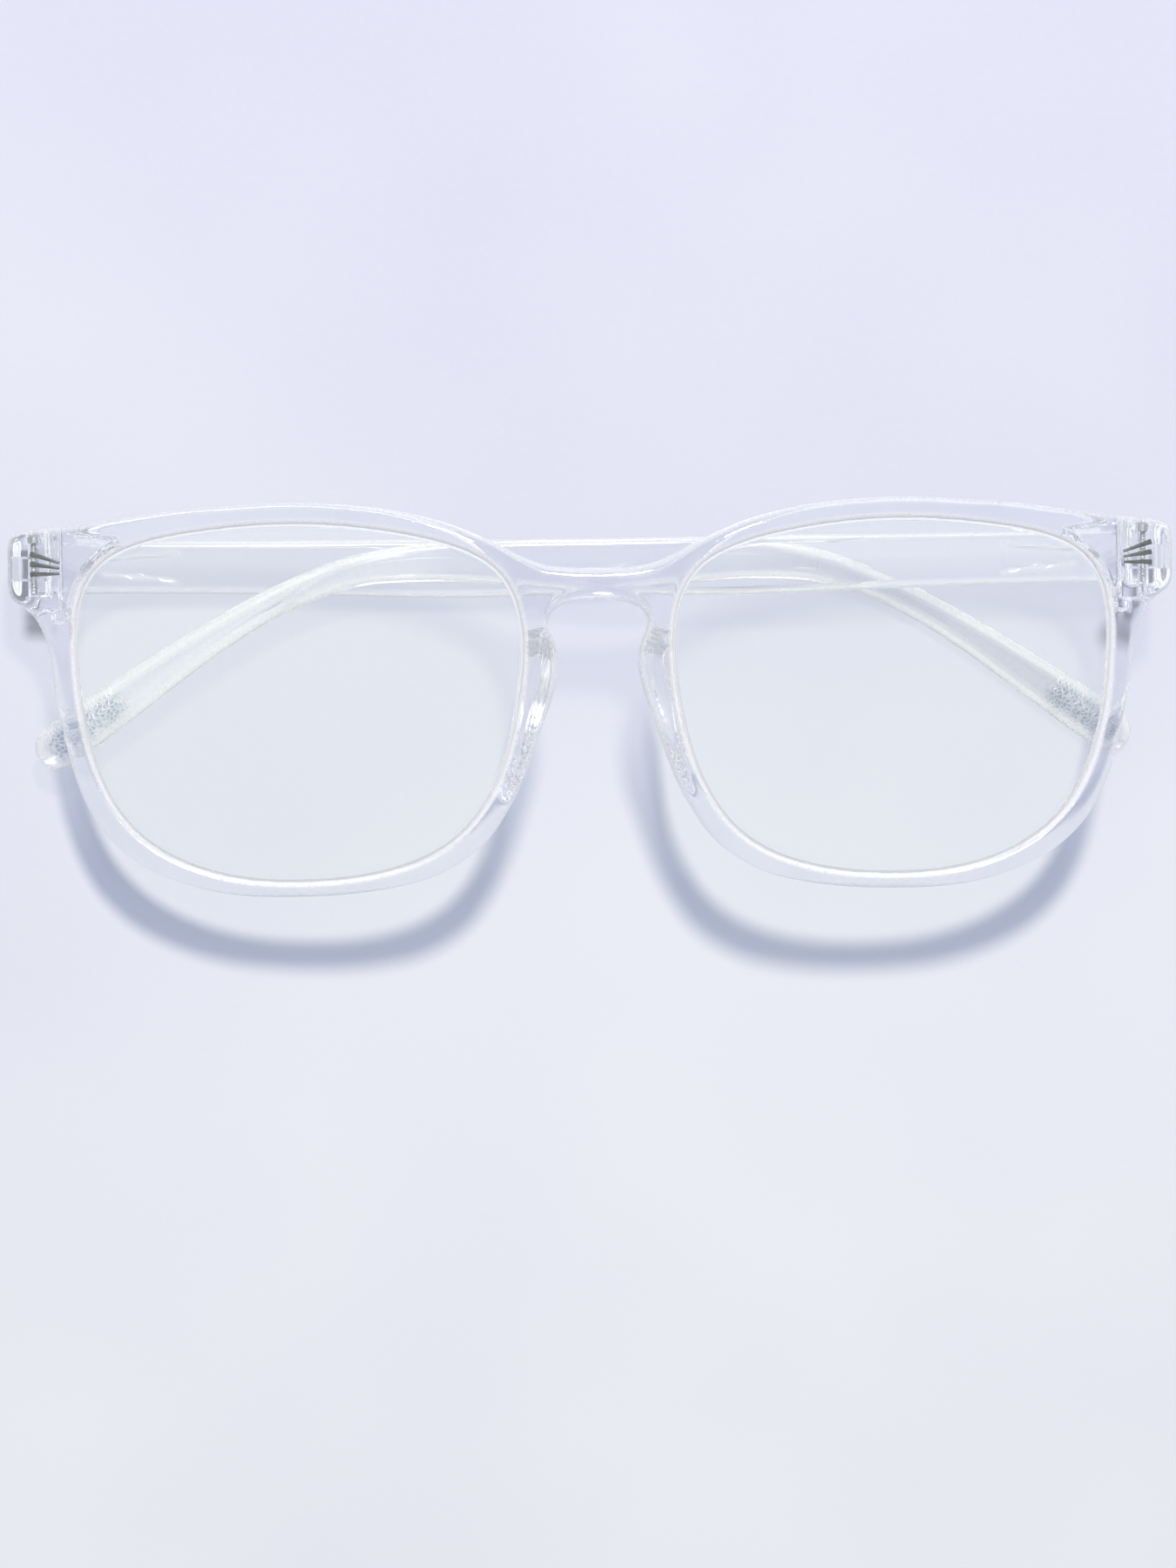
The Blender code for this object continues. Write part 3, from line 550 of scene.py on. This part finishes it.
def make_front():
    bm = bmesh.new()
    add_plate(bm)
    add_blocks(bm)
    add_shoulders(bm)
    add_pads(bm)
    for side in (1, -1):
        lathe(bm, (side * HINGE_X, 0), [(KNUCKLE_RADIUS, KNUCKLE_SPAN[0]), (KNUCKLE_RADIUS, KNUCKLE_SPAN[1])])
    obj = new_object("front_moulding", bm, FRONT)
    remesh = obj.modifiers.new("one_skin", "REMESH")
    remesh.mode = "VOXEL"
    remesh.voxel_size = VOXEL
    smooth = obj.modifiers.new("soften", "SMOOTH")
    smooth.factor = 0.5
    smooth.iterations = SMOOTH_PASSES
    bake(obj)
    boolean(obj, front_cutter(), "DIFFERENCE")
    mark_front(obj)
    shade(obj)
    return obj


def mark_front(obj):
    """Marks where a white highlight is painted, with a rougher finish: the bevels and walls of the lens
    openings, and the outer edge.
    """
    coords = np.empty(len(obj.data.vertices) * 3, np.float32)
    obj.data.vertices.foreach_get("co", coords)
    to_plane = np.array(FRONT.inverted())
    points = coords.reshape(-1, 3) @ to_plane[:3, :3].T + to_plane[:3, 3]
    across, up = np.abs(points[:, 0]) - LENS_CENTRE_X, points[:, 1]
    edge = np.interp(np.arctan2(up, across), APERTURE_ANGLES, APERTURE_RADII, period=2 * math.pi)
    off_edge = np.hypot(across, up) - edge
    # painted highlight along the bevels and walls of the lens openings
    rough_and_painted_highlight = fade(off_edge, APERTURE_HIGHLIGHT_BAND)
    from_outline = distances(points[:, :2], full_outline())
    # painted highlight along the outer edge, fading out towards the bottom of the front
    glow = EDGE_GLOW * np.interp(points[:, 1], EDGE_GLOW_HEIGHTS, (0, 1))
    rough_and_painted_highlight = np.maximum(rough_and_painted_highlight, glow * fade(from_outline, FRONT_EDGE_BAND))
    keep_values(obj, "rough_and_painted_highlight", rough_and_painted_highlight)


def fade(distance, band):
    """1 up to the first distance of the band, falling to 0 at the second."""
    return 1 - np.clip((distance - band[0]) / (band[1] - band[0]), 0, 1)


def distances(points, path):
    """How far each point of a plane is from the nearest point of a path."""
    tree = path_tree(path)
    return np.array([tree.find((x, y, 0.0))[2] for x, y in points.tolist()])


def path_tree(path):
    """A search tree of the points of a path in a plane."""
    tree = KDTree(len(path))
    for number, place in enumerate(path):
        tree.insert((place[0], place[1], 0.0), number)
    tree.balance()
    return tree


def keep_values(obj, name, values):
    layer = obj.data.attributes.new(name, "FLOAT", "POINT")
    layer.data.foreach_set("value", values.astype(np.float32))


# ---------------------------------------------------------------- the lenses

def make_lens(name, side):
    """A lens of even thickness, bulging forwards, with a bevel all round that enters the groove."""
    bm = bmesh.new()
    rings, around = 16, 240
    half = LENS_THICKNESS / 2
    edge = [(-LENS_EDGE_GAP + 0.1 * MM, half * 0.86), (-LENS_EDGE_GAP + 0.14 * MM, half * 0.7),
            (LENS_BEVEL_REACH - 0.08 * MM, 0.06 * half), (LENS_BEVEL_REACH - 0.08 * MM, -0.06 * half),
            (-LENS_EDGE_GAP + 0.14 * MM, -half * 0.7), (-LENS_EDGE_GAP + 0.1 * MM, -half * 0.86)]

    def middle(point, share):
        return face_height(*point) - LENS_BEHIND_FACE + LENS_BULGE * (1 - share * share)

    ground = bm.verts.layers.float.new("ground_edge")
    loops = []
    for k in range(around):
        angle = 2 * math.pi * k / around
        centre = np.array([LENS_CENTRE_X, 0.0])
        rim = aperture_point(angle, -LENS_EDGE_GAP)
        shares = [r / rings for r in range(1, rings + 1)]
        front = [(centre + (rim - centre) * s, s, half) for s in shares]
        back = [(centre + (rim - centre) * s, s, -half) for s in reversed(shares)]
        bevel = [(aperture_point(angle, out), 1.0, up) for out, up in edge]
        column = front + bevel + back
        loops.append([bm.verts.new((side * p[0], p[1], middle(p, s) + up)) for p, s, up in column])
        for vert in loops[-1][rings:rings + len(edge)]:
            vert[ground] = 1.0
    for one, two in zip(loops, loops[1:] + loops[:1]):
        for k in range(len(one) - 1):
            bm.faces.new((one[k], one[k + 1], two[k + 1], two[k]))
    for place, up in ((0, half), (-1, -half)):
        height = middle((LENS_CENTRE_X, 0), 0) + up
        pole = bm.verts.new((side * LENS_CENTRE_X, 0, height))
        for one, two in zip(loops, loops[1:] + loops[:1]):
            bm.faces.new((one[place], two[place], pole))
    obj = new_object(name, bm, FRONT)
    shade(obj, math.radians(20))
    return obj


# ---------------------------------------------------------------- the temples

def temple_rows():
    rows = [np.array(row) * MM for row in TEMPLE_LINE]
    before, after = 2 * rows[0] - rows[1], 2 * rows[-1] - rows[-2]
    return smooth_path(rows, 0.6 * MM, before, after)


def temple_section(width, thickness, crown, round_share):
    """Across a temple: a flat outer face with bevels, straight sides and a crowned inner face."""
    half = width / 2
    reach = min(TEMPLE_CHAMFER[0], 0.3 * width)
    rise = min(TEMPLE_CHAMFER[1], 0.25 * thickness)
    inner_reach = round_share * reach
    points = [(half - reach, 0.0), (half - 0.25 * reach, 0.7 * rise), (half - 0.06 * reach, 1.05 * rise),
              (half, 1.4 * rise)]
    steps = 6
    for k in range(steps + 1):
        turn = math.pi / 2 * k / steps
        points.append((half - inner_reach * (1 - math.cos(turn)),
                       thickness - crown - 1.1 * rise * (1 - math.sin(turn))))
    flat = half - inner_reach
    for share in (0.8, 0.6, 0.45, 0.3, 0.15):
        points.append((flat * share, thickness - crown * share * share))
    middle = [(0.0, thickness)]
    return points + middle + [(-across, up) for across, up in reversed(points)]


def scoop(along, across, up, thickness):
    """How deep the scoop near the hinge is at this place of the inner face."""
    share = (along - SCOOP_SPAN[0]) / (SCOOP_SPAN[1] - SCOOP_SPAN[0])
    if not 0 < share < 1 or up < 0.6 * thickness:
        return 0.0
    half = SCOOP_HALF_WIDTHS[0] + (SCOOP_HALF_WIDTHS[1] - SCOOP_HALF_WIDTHS[0]) * share
    ends = smooth_step(share, 0, 0.1) * smooth_step(1 - share, 0, 0.12)
    return SCOOP_DEPTH * ends * (1 - smooth_step(abs(across), 0.72 * half, half))


def add_temple(bm, side, hinge):
    """The bar and its bent tip, drawn from the hinge axis towards the other side of the front."""
    rows = temple_rows()
    total = len(rows) - 1
    stations = []
    for i, row in enumerate(rows):
        ahead, behind = rows[min(i + 1, total)], rows[max(i - 1, 0)]
        along = (ahead - behind)[:2] / np.hypot(*(ahead - behind)[:2])
        share = i / total
        thickness = TEMPLE_THICKNESS_AT_HINGE + (TEMPLE_THICKNESS_AT_TIP - TEMPLE_THICKNESS_AT_HINGE) * share
        stations.append((row[:2], along, row[2], thickness))
    middle, along, width, thickness = stations[-1]
    for degrees in (12, 24, 35, 45, 54, 62, 69, 75):
        turn = math.radians(degrees)
        stations.append((middle + along * 0.5 * width * math.sin(turn), along, width * math.cos(turn),
                         thickness * (0.55 + 0.45 * math.cos(turn))))
    loops = []
    for number, (middle, along, width, thickness) in enumerate(stations):
        across = np.array([-along[1], along[0]])
        bent = smooth_step(number / len(stations), 0.45, 0.9)
        crown = 0.12 * MM + 0.3 * MM * bent
        loop = []
        thickness = max(thickness, TEMPLE_THINNEST)
        for out, up in temple_section(width, thickness, crown, 0.9 + 0.45 * bent):
            point = middle + across * out
            up -= scoop(middle[0], out, up, thickness)
            loop.append(bm.verts.new(hinge + Vector((-side * point[0], point[1], up - TEMPLE_OUTER_FACE))))
        loops.append(loop)
    join_loops(bm, loops)
    bm.faces.new(loops[0])
    bm.faces.new(loops[-1])


def make_temple(word, side):
    joint = HINGES["hinge_" + word]
    hinge = Vector((joint.x, ORIGIN_Y, joint.z))
    bm = bmesh.new()
    add_temple(bm, side, hinge)
    obj = new_object("temple_moulding_" + word, bm)

    barrel = bmesh.new()
    lathe(barrel, (0, 0), [(KNUCKLE_RADIUS, TEMPLE_KNUCKLE[0] - BARREL_SPARE),
                           (KNUCKLE_RADIUS, TEMPLE_KNUCKLE[1] + BARREL_SPARE)])
    boolean(obj, new_object("barrel", barrel, Matrix.Translation(hinge)), "UNION")

    relief = bmesh.new()
    clear = KNUCKLE_RADIUS + KNUCKLE_CLEARANCE
    lathe(relief, (0, 0), [
        (clear, KNUCKLE_SPAN[0] - CUT_SPARE), (clear, TEMPLE_KNUCKLE[0]),
        (SCREW_HOLE_RADIUS, TEMPLE_KNUCKLE[0]), (SCREW_HOLE_RADIUS, TEMPLE_KNUCKLE[1]),
        (clear, TEMPLE_KNUCKLE[1]), (clear, KNUCKLE_SPAN[1] + CUT_SPARE)])
    boolean(obj, new_object("relief", relief, Matrix.Translation(hinge)), "DIFFERENCE")
    mark_edges(obj, side, hinge)
    shade(obj, math.radians(30))
    return obj


def mark_edges(obj, side, hinge):
    """Marks where a temple's long edges and the edges of its scoop get a painted highlight, wider along the
    bent tip.
    """
    rows = np.array(temple_rows())
    tree = path_tree(rows)
    values = []
    for vertex in obj.data.vertices:
        local = vertex.co - hinge
        _, number, away = tree.find((-side * local.x, local.y, 0.0))
        along, _, width = rows[number]
        bent = smooth_step(along, *BENT_FROM)
        band = [a + (b - a) * bent for a, b in zip(TEMPLE_EDGE_BAND, BENT_EDGE_BAND)]
        inwards = width / 2 - away
        share = (along - SCOOP_SPAN[0]) / (SCOOP_SPAN[1] - SCOOP_SPAN[0])
        lit = float(fade(inwards, band)) if along > TEMPLE_EDGE_FROM else 0.0
        if 0 < share < 1 and local.z > 0:
            half = SCOOP_HALF_WIDTHS[0] + (SCOOP_HALF_WIDTHS[1] - SCOOP_HALF_WIDTHS[0]) * share
            lit = max(lit, float(fade(abs(away - half), SCOOP_EDGE_BAND)))
        # painted highlight on the temple's edges
        values.append(EDGE_GLOW * lit)
    keep_values(obj, "rough_and_painted_highlight", np.array(values))


# ---------------------------------------------------------------- small metal pieces

def make_screw(word, side):
    """A slotted screw along the hinge axis, head up, with a cut thread."""
    bm = bmesh.new()
    turns = 32
    neck = SCREW_SPAN[1] - SCREW_HEAD_HEIGHT
    step = SCREW_THREAD_PITCH / 8
    profile = [(0.6 * SCREW_ROOT_RADIUS, SCREW_SPAN[0], 0.0)]
    for k in range(1, int((neck - SCREW_SPAN[0]) / step)):
        y = SCREW_SPAN[0] + k * step
        profile.append((SCREW_ROOT_RADIUS, y, smooth_step(k, 0, 8)))
    edge = SCREW_HEAD_ROUND
    profile += [(SCREW_ROOT_RADIUS, neck, 0.0), (SCREW_HEAD_RADIUS - 0.05 * MM, neck, 0.0),
                (SCREW_HEAD_RADIUS, neck + 0.05 * MM, 0.0)]
    for k in range(5):
        turn = math.pi / 2 * k / 4
        profile.append((SCREW_HEAD_RADIUS - edge * (1 - math.cos(turn)),
                        SCREW_SPAN[1] - edge * (1 - math.sin(turn)), 0.0))
    loops = []
    for radius, y, thread in profile:
        ring = []
        for k in range(turns):
            turn = 2 * math.pi * k / turns
            wave = 0.5 + 0.5 * math.cos(2 * math.pi * y / SCREW_THREAD_PITCH - turn)
            reach = radius + thread * SCREW_THREAD_DEPTH * wave
            ring.append(bm.verts.new((side * HINGE_X + reach * math.cos(turn), y, reach * math.sin(turn))))
        loops.append(ring)
    join_loops(bm, loops)
    bm.faces.new(loops[0])
    bm.faces.new(loops[-1])
    obj = new_object("screw_" + word, bm, FRONT)
    slot = bmesh.new()
    size = Matrix.Diagonal((SCREW_HEAD_RADIUS * 3, SCREW_SLOT_DEPTH * 2, SCREW_SLOT_WIDTH, 1))
    place = Matrix.Translation((side * HINGE_X, SCREW_SPAN[1], 0))
    bmesh.ops.create_cube(slot, size=1, matrix=place @ size)
    boolean(obj, new_object("slot", slot, FRONT), "DIFFERENCE")
    shade(obj, math.radians(40))
    return obj


def make_trim(name, side, heights):
    bm = bmesh.new()
    matrix, length = trim_frame(side, heights)
    add_wedge(bm, matrix, length, 0, -TRIM_DEPTH, TRIM_PROUD)
    obj = new_object(name, bm, FRONT)
    bevel = obj.modifiers.new("rounded_edges", "BEVEL")
    bevel.width = TRIM_BEVEL
    bevel.segments = 4
    bake(obj)
    shade(obj, math.radians(50))
    return obj


# ---------------------------------------------------------------- materials

class Nodes:
    """A short way to add nodes to a material and to join them."""

    def __init__(self, name):
        self.material = bpy.data.materials.new(name)
        self.material.use_nodes = True
        self.tree = self.material.node_tree
        self.shader = self.tree.nodes["Principled BSDF"]
        self.output = self.tree.nodes["Material Output"]
        place = self.add("ShaderNodeTexCoord")
        self.place = place.outputs["Object"]

    def add(self, kind, inputs=None, **settings):
        node = self.tree.nodes.new(kind)
        for key, value in settings.items():
            setattr(node, key, value)
        for key, value in (inputs or {}).items():
            self.put(node, key, value)
        return node

    def put(self, node, key, value):
        if isinstance(value, bpy.types.NodeSocket):
            self.tree.links.new(value, node.inputs[key])
        else:
            node.inputs[key].default_value = value

    def noise(self, scale, detail=3.0, roughness=0.55, stretch=None):
        place = self.place
        if stretch:
            place = self.add("ShaderNodeMapping", {"Vector": place, "Scale": stretch}).outputs["Vector"]
        node = self.add("ShaderNodeTexNoise", {"Vector": place, "Scale": scale, "Detail": detail,
                                               "Roughness": roughness})
        return node.outputs["Fac"]

    def ramp(self, value, low, high, to_low, to_high):
        node = self.add("ShaderNodeMapRange", {"Value": value, "From Min": low, "From Max": high,
                                               "To Min": to_low, "To Max": to_high})
        return node.outputs["Result"]

    def near(self, centre, inner, outer):
        """1 within the inner distance of a place, 0 beyond the outer one."""
        away = self.add("ShaderNodeVectorMath", {0: self.place, 1: centre}, operation="DISTANCE")
        node = self.add("ShaderNodeMapRange", {"Value": away.outputs["Value"], "From Min": inner,
                                               "From Max": outer, "To Min": 1.0, "To Max": 0.0},
                        interpolation_type="SMOOTHSTEP")
        return node.outputs["Result"]

    def math(self, operation, one, two):
        node = self.add("ShaderNodeMath", {0: one, 1: two}, operation=operation)
        return node.outputs["Value"]

    def mix(self, share, one, two):
        node = self.add("ShaderNodeMix", {"Factor": share, "A": one, "B": two}, data_type="RGBA")
        return node.outputs["Result"]

    def bump(self, height, strength, distance):
        node = self.add("ShaderNodeBump", {"Height": height, "Strength": strength, "Distance": distance})
        self.put(self.shader, "Normal", node.outputs["Normal"])

    def light_passes(self, shadow, ground):
        """Lets a tinted share of the light through: from lamps as a soft shadow, and from the room."""
        path = self.add("ShaderNodeLightPath")
        shown = self.shader.outputs[0]
        for kind, colour in (("Is Diffuse Ray", ground), ("Is Shadow Ray", shadow)):
            through = self.add("ShaderNodeBsdfTransparent", {"Color": colour}).outputs[0]
            mix = self.add("ShaderNodeMixShader", {0: path.outputs[kind], 1: shown, 2: through})
            shown = mix.outputs[0]
        self.put(self.output, "Surface", shown)


def shift(point):
    """A place in the front's own plane, in millimetres, as a place in the world."""
    return FRONT @ (Vector(point) * MM)


def clear_material(name, frosted_places, warm_places, tint, rough_and_painted_highlight=False):
    """Clear moulded plastic with faint flow lines, a warm tint where it is thick, frosted places, and a
    painted white highlight with a rougher finish where marked.
    """
    n = Nodes(name)
    n.put(n.shader, "IOR", 1.49)
    cloudy = n.noise(90, 4)
    colour = n.mix(n.ramp(cloudy, 0.3, 0.7, 0, 1), (*tint, 1), tuple(0.5 + 0.5 * c for c in tint) + (1,))
    warm = None
    for centre, inner, outer in warm_places:
        share = n.near(centre, inner, outer)
        warm = share if warm is None else n.math("MAXIMUM", warm, share)
    if warm is not None:
        patchy = n.math("MULTIPLY", warm, n.ramp(n.noise(400, 3), 0.3, 0.7, 0.35, 1.0))
        colour = n.mix(patchy, colour, (0.985, 0.955, 0.88, 1))
    n.put(n.shader, "Base Color", colour)
    wear = n.ramp(n.noise(1500, 5, 0.65), 0.45, 0.75, 0.012, 0.07)
    flow = n.noise(160, 2, 0.4, stretch=(0.25, 1.0, 1.0))
    height = n.math("MULTIPLY", flow, 0.35)
    frost, clear = None, 1.0
    for centre, inner, outer in frosted_places:
        share = n.near(centre, inner, outer)
        frost = share if frost is None else n.math("MAXIMUM", frost, share)
    if frost is not None:
        grain = n.noise(2600, 3, 0.7)
        cells = n.add("ShaderNodeTexVoronoi", {"Vector": n.place, "Scale": 1900.0},
                      feature="DISTANCE_TO_EDGE")
        rough_patch = n.math("ADD", grain, n.ramp(cells.outputs["Distance"], 0.0, 0.25, 0.0, 0.6))
        height = n.math("ADD", height, n.math("MULTIPLY", frost, n.math("MULTIPLY", rough_patch, 1.6)))
        wear = n.math("ADD", wear, n.math("MULTIPLY", frost, 0.3))
        clear = n.ramp(frost, 0, 1, 1.0, 0.72)
        speck = n.math("MULTIPLY", frost, n.ramp(rough_patch, 0.45, 1.0, 0.1, 1.0))
        colour = n.mix(speck, colour, (0.34, 0.40, 0.48, 1))
        n.put(n.shader, "Base Color", colour)
    if rough_and_painted_highlight:
        # painted highlight: where marked, the plastic is painted white, made less clear and rougher
        cut = n.add("ShaderNodeAttribute", attribute_name="rough_and_painted_highlight").outputs["Fac"]
        cut = n.math("MULTIPLY", cut, n.ramp(n.noise(2200, 3, 0.6), 0.3, 0.7, 0.75, 1.0))
        wear = n.math("ADD", wear, n.math("MULTIPLY", cut, 0.35))
        n.put(n.shader, "Base Color", n.mix(cut, colour, (1.0, 1.0, 1.0, 1)))
        clear = n.math("MULTIPLY", n.ramp(cut, 0, 1, 1.0, 0.3), clear)
    n.put(n.shader, "Transmission Weight", clear)
    n.put(n.shader, "Roughness", wear)
    n.bump(height, 0.35, 0.00012)
    return n


def lens_material():
    """Clear lens plastic with a faint green-grey tint, small smears in its polish and a ground edge."""
    n = Nodes("clear_lens")
    edge = n.add("ShaderNodeAttribute", attribute_name="ground_edge").outputs["Fac"]
    edge = n.ramp(edge, 0.3, 0.9, 0, 1)
    n.put(n.shader, "Transmission Weight", n.ramp(edge, 0, 1, 1.0, 0.35))
    n.put(n.shader, "IOR", 1.5)
    n.put(n.shader, "Specular Tint", (0.86, 0.97, 1.0, 1))
    smear = n.ramp(n.noise(60, 5, 0.6, stretch=(1.0, 0.3, 1.0)), 0.5, 0.8, 0.0, 0.05)
    grind = n.math("MULTIPLY", edge, n.ramp(n.noise(3000, 4, 0.7), 0.3, 0.7, 0.4, 0.7))
    n.put(n.shader, "Roughness", n.math("ADD", smear, grind))
    tint = n.mix(n.noise(25, 2), (0.965, 0.98, 0.96, 1), (0.98, 0.99, 0.975, 1))
    n.put(n.shader, "Base Color", n.mix(edge, tint, (1.0, 1.0, 1.0, 1)))
    n.bump(n.noise(35, 1, 0.3), 0.05, 0.0001)
    n.light_passes((0.975, 0.985, 0.975, 1), (0.99, 0.99, 0.985, 1))
    return n.material


def metal_material(name, dark, light, stretch, roughness):
    """Metal with drawn streaks, spots of tarnish and a rubbed polish."""
    n = Nodes(name)
    n.put(n.shader, "Metallic", 1.0)
    streaks = n.noise(5200, 4, 0.6, stretch=stretch)
    spots = n.ramp(n.noise(2400, 3, 0.6), 0.55, 0.75, 0, 1)
    colour = n.mix(streaks, (*dark, 1), (*light, 1))
    colour = n.mix(n.math("MULTIPLY", spots, 0.5), colour, tuple(0.6 * c for c in dark) + (1,))
    n.put(n.shader, "Base Color", colour)
    n.put(n.shader, "Roughness", n.ramp(streaks, 0.3, 0.7, roughness - 0.1, roughness + 0.12))
    n.bump(streaks, 0.4, 0.00003)
    return n.material


def floor_material():
    """Pale lavender board with soft cloudy tone, painted light that makes it lighter towards -Y and darker
    towards +Y, and a fine tooth.
    """
    n = Nodes("pale_board")
    across = n.add("ShaderNodeSeparateXYZ", {0: n.place}).outputs["Y"]
    # painted light: the board is lighter towards -Y and darker towards +Y, added to its random tone
    tone_and_painted_falloff = n.math("ADD", n.ramp(n.noise(9, 3), 0.3, 0.7, -0.25, 0.25), n.ramp(across, -0.12, 0.1, 1.0, 0.0))
    colour = n.mix(tone_and_painted_falloff, (0.705, 0.715, 0.862, 1), (0.855, 0.875, 0.935, 1))
    fine = n.noise(700, 4, 0.7)
    colour = n.mix(n.ramp(fine, 0.35, 0.65, 0, 0.12), colour, (0.86, 0.87, 0.93, 1))
    n.put(n.shader, "Base Color", colour)
    n.put(n.shader, "Roughness", n.ramp(fine, 0.3, 0.7, 0.55, 0.75))
    n.put(n.shader, "Specular IOR Level", 0.25)
    n.bump(fine, 0.08, 0.0002)
    return n.material


# ---------------------------------------------------------------- the whole object

def dress(obj, material, body, slot, *nodes):
    obj.data.materials.clear()
    obj.data.materials.append(material)
    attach(obj, body)
    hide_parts(*nodes)


def temple_place(side, along, up):
    """A place on a temple's middle line, in the world."""
    rows = temple_rows()
    middle = min(rows, key=lambda row: abs(row[0] - along * MM))
    joint = HINGES["hinge_left" if side > 0 else "hinge_right"]
    return Vector((joint.x - side * middle[0], ORIGIN_Y + middle[1], joint.z + up * MM))


def build_object():
    warm = [(shift((side * 6.6, y, z)), 1.5 * MM, 7.0 * MM)
            for side in (1, -1) for y, z in ((5.0, 9.0), (0.0, 9.0), (-4.0, 10.0))]
    front = clear_material("clear_front", [], warm, (0.865, 0.88, 0.92), rough_and_painted_highlight=True)
    height = front.add("ShaderNodeSeparateXYZ", {0: front.place}).outputs["Y"]
    height = front.ramp(height, -13 * MM, 7 * MM, 0, 1)
    shadow = front.mix(height, (0.48, 0.54, 0.66, 1), (0.92, 0.925, 0.945, 1))
    front.light_passes(shadow, (0.96, 0.97, 0.985, 1))
    dress(make_front(), front.material, "front", "clear_plastic", "front_frame")

    lens = lens_material()
    screw = metal_material("screw_steel", (0.36, 0.37, 0.38), (0.66, 0.66, 0.65), (1.0, 6.0, 1.0), 0.3)
    trim = metal_material("dark_inlay", (0.075, 0.08, 0.078), (0.2, 0.21, 0.2), (0.15, 1.0, 1.0), 0.34)
    for side, word in ((1, "left"), (-1, "right")):
        dress(make_lens("lens_disc_" + word, side), lens, "front", "lens_plastic", "lens_" + word)
        dress(make_screw(word, side), screw, "front", "screw_metal", "hinge_screw_" + word)
        for number, heights in enumerate(TRIM_BARS, 1):
            node = f"trim_bar_{word}_{number}"
            bar = make_trim(f"inlay_{word}_{number}", side, heights)
            dress(bar, trim, "front", "trim_metal", node)
        frosted = [(temple_place(side, along, -1.2), 1.2 * MM, 3.4 * MM) for along in (127.5, 130.0, 132.5)]
        temple = clear_material("clear_temple_" + word, frosted, [], (0.97, 0.975, 0.985), rough_and_painted_highlight=True)
        temple.light_passes((0.945, 0.95, 0.96, 1), (0.985, 0.985, 0.99, 1))
        dress(make_temple(word, side), temple.material, "temple_" + word, "clear_plastic", "temple_" + word)


# ---------------------------------------------------------------- the studio

FLOOR_HALF = 1.6
CAMERA_PLACE = (-0.0494, 0.0154, 0.550)
CAMERA_TILT = (math.radians(-2.72), math.radians(-5.16), math.radians(-0.65))
CAMERA_LENS = 101.5
LIGHT_BOUNCES = 32
KEY_PLACE, KEY_AIM = (0.05, 0.74, 1.20), (0, 0, 0.01)
KEY_SIZE = 0.17
KEY_POWER = 15.0
KEY_COLOUR = (1.0, 0.99, 0.97)
WALLS_LIGHTING = 0.38
WALLS_SEEN_IN_GLOSS = 1.15


def make_floor():
    bm = bmesh.new()
    cells = 24
    bmesh.ops.create_grid(bm, x_segments=cells, y_segments=cells, size=FLOOR_HALF)
    obj = new_object("floor", bm, Matrix.Identity(4))
    if obj.data.polygons[0].normal.z < 0:
        obj.data.flip_normals()
    obj.data.materials.append(floor_material())


def add_area(name, place, target, size, power, colour):
    light = bpy.data.lights.new(name, "AREA")
    light.shape = "DISK"
    light.size = size
    light.energy = power
    light.color = colour
    obj = bpy.data.objects.new(name, light)
    obj.location = place
    obj.rotation_euler = (Vector(target) - Vector(place)).to_track_quat("-Z", "Y").to_euler()
    bpy.context.scene.collection.objects.link(obj)


def make_world():
    world = bpy.data.worlds.new("studio")
    bpy.context.scene.world = world
    world.use_nodes = True
    nodes, links = world.node_tree.nodes, world.node_tree.links
    background = nodes["Background"]
    background.inputs["Color"].default_value = (0.95, 0.965, 1.0, 1)
    path = nodes.new("ShaderNodeLightPath")
    strength = nodes.new("ShaderNodeMapRange")
    strength.inputs["To Min"].default_value = WALLS_SEEN_IN_GLOSS
    strength.inputs["To Max"].default_value = WALLS_LIGHTING
    links.new(path.outputs["Is Diffuse Ray"], strength.inputs["Value"])
    links.new(strength.outputs["Result"], background.inputs["Strength"])


def make_camera():
    camera = bpy.data.cameras.new("camera")
    camera.lens = CAMERA_LENS
    camera.sensor_width = 36.0
    camera.clip_start = 0.01
    obj = bpy.data.objects.new("camera", camera)
    obj.location = CAMERA_PLACE
    turn = Matrix.Rotation(CAMERA_TILT[2], 4, "Z") @ Matrix.Rotation(CAMERA_TILT[1], 4, "Y")
    obj.rotation_euler = (turn @ Matrix.Rotation(CAMERA_TILT[0], 4, "X")).to_euler()
    bpy.context.scene.collection.objects.link(obj)
    bpy.context.scene.camera = obj


def make_studio():
    make_floor()
    make_world()
    add_area("key", KEY_PLACE, KEY_AIM, KEY_SIZE, KEY_POWER, KEY_COLOUR)
    make_camera()
    scene = bpy.context.scene
    scene.view_settings.view_transform = "Standard"
    scene.cycles.max_bounces = LIGHT_BOUNCES
    scene.cycles.glossy_bounces = LIGHT_BOUNCES
    scene.cycles.transmission_bounces = LIGHT_BOUNCES
    scene.cycles.transparent_max_bounces = LIGHT_BOUNCES


make_studio()
build_object()
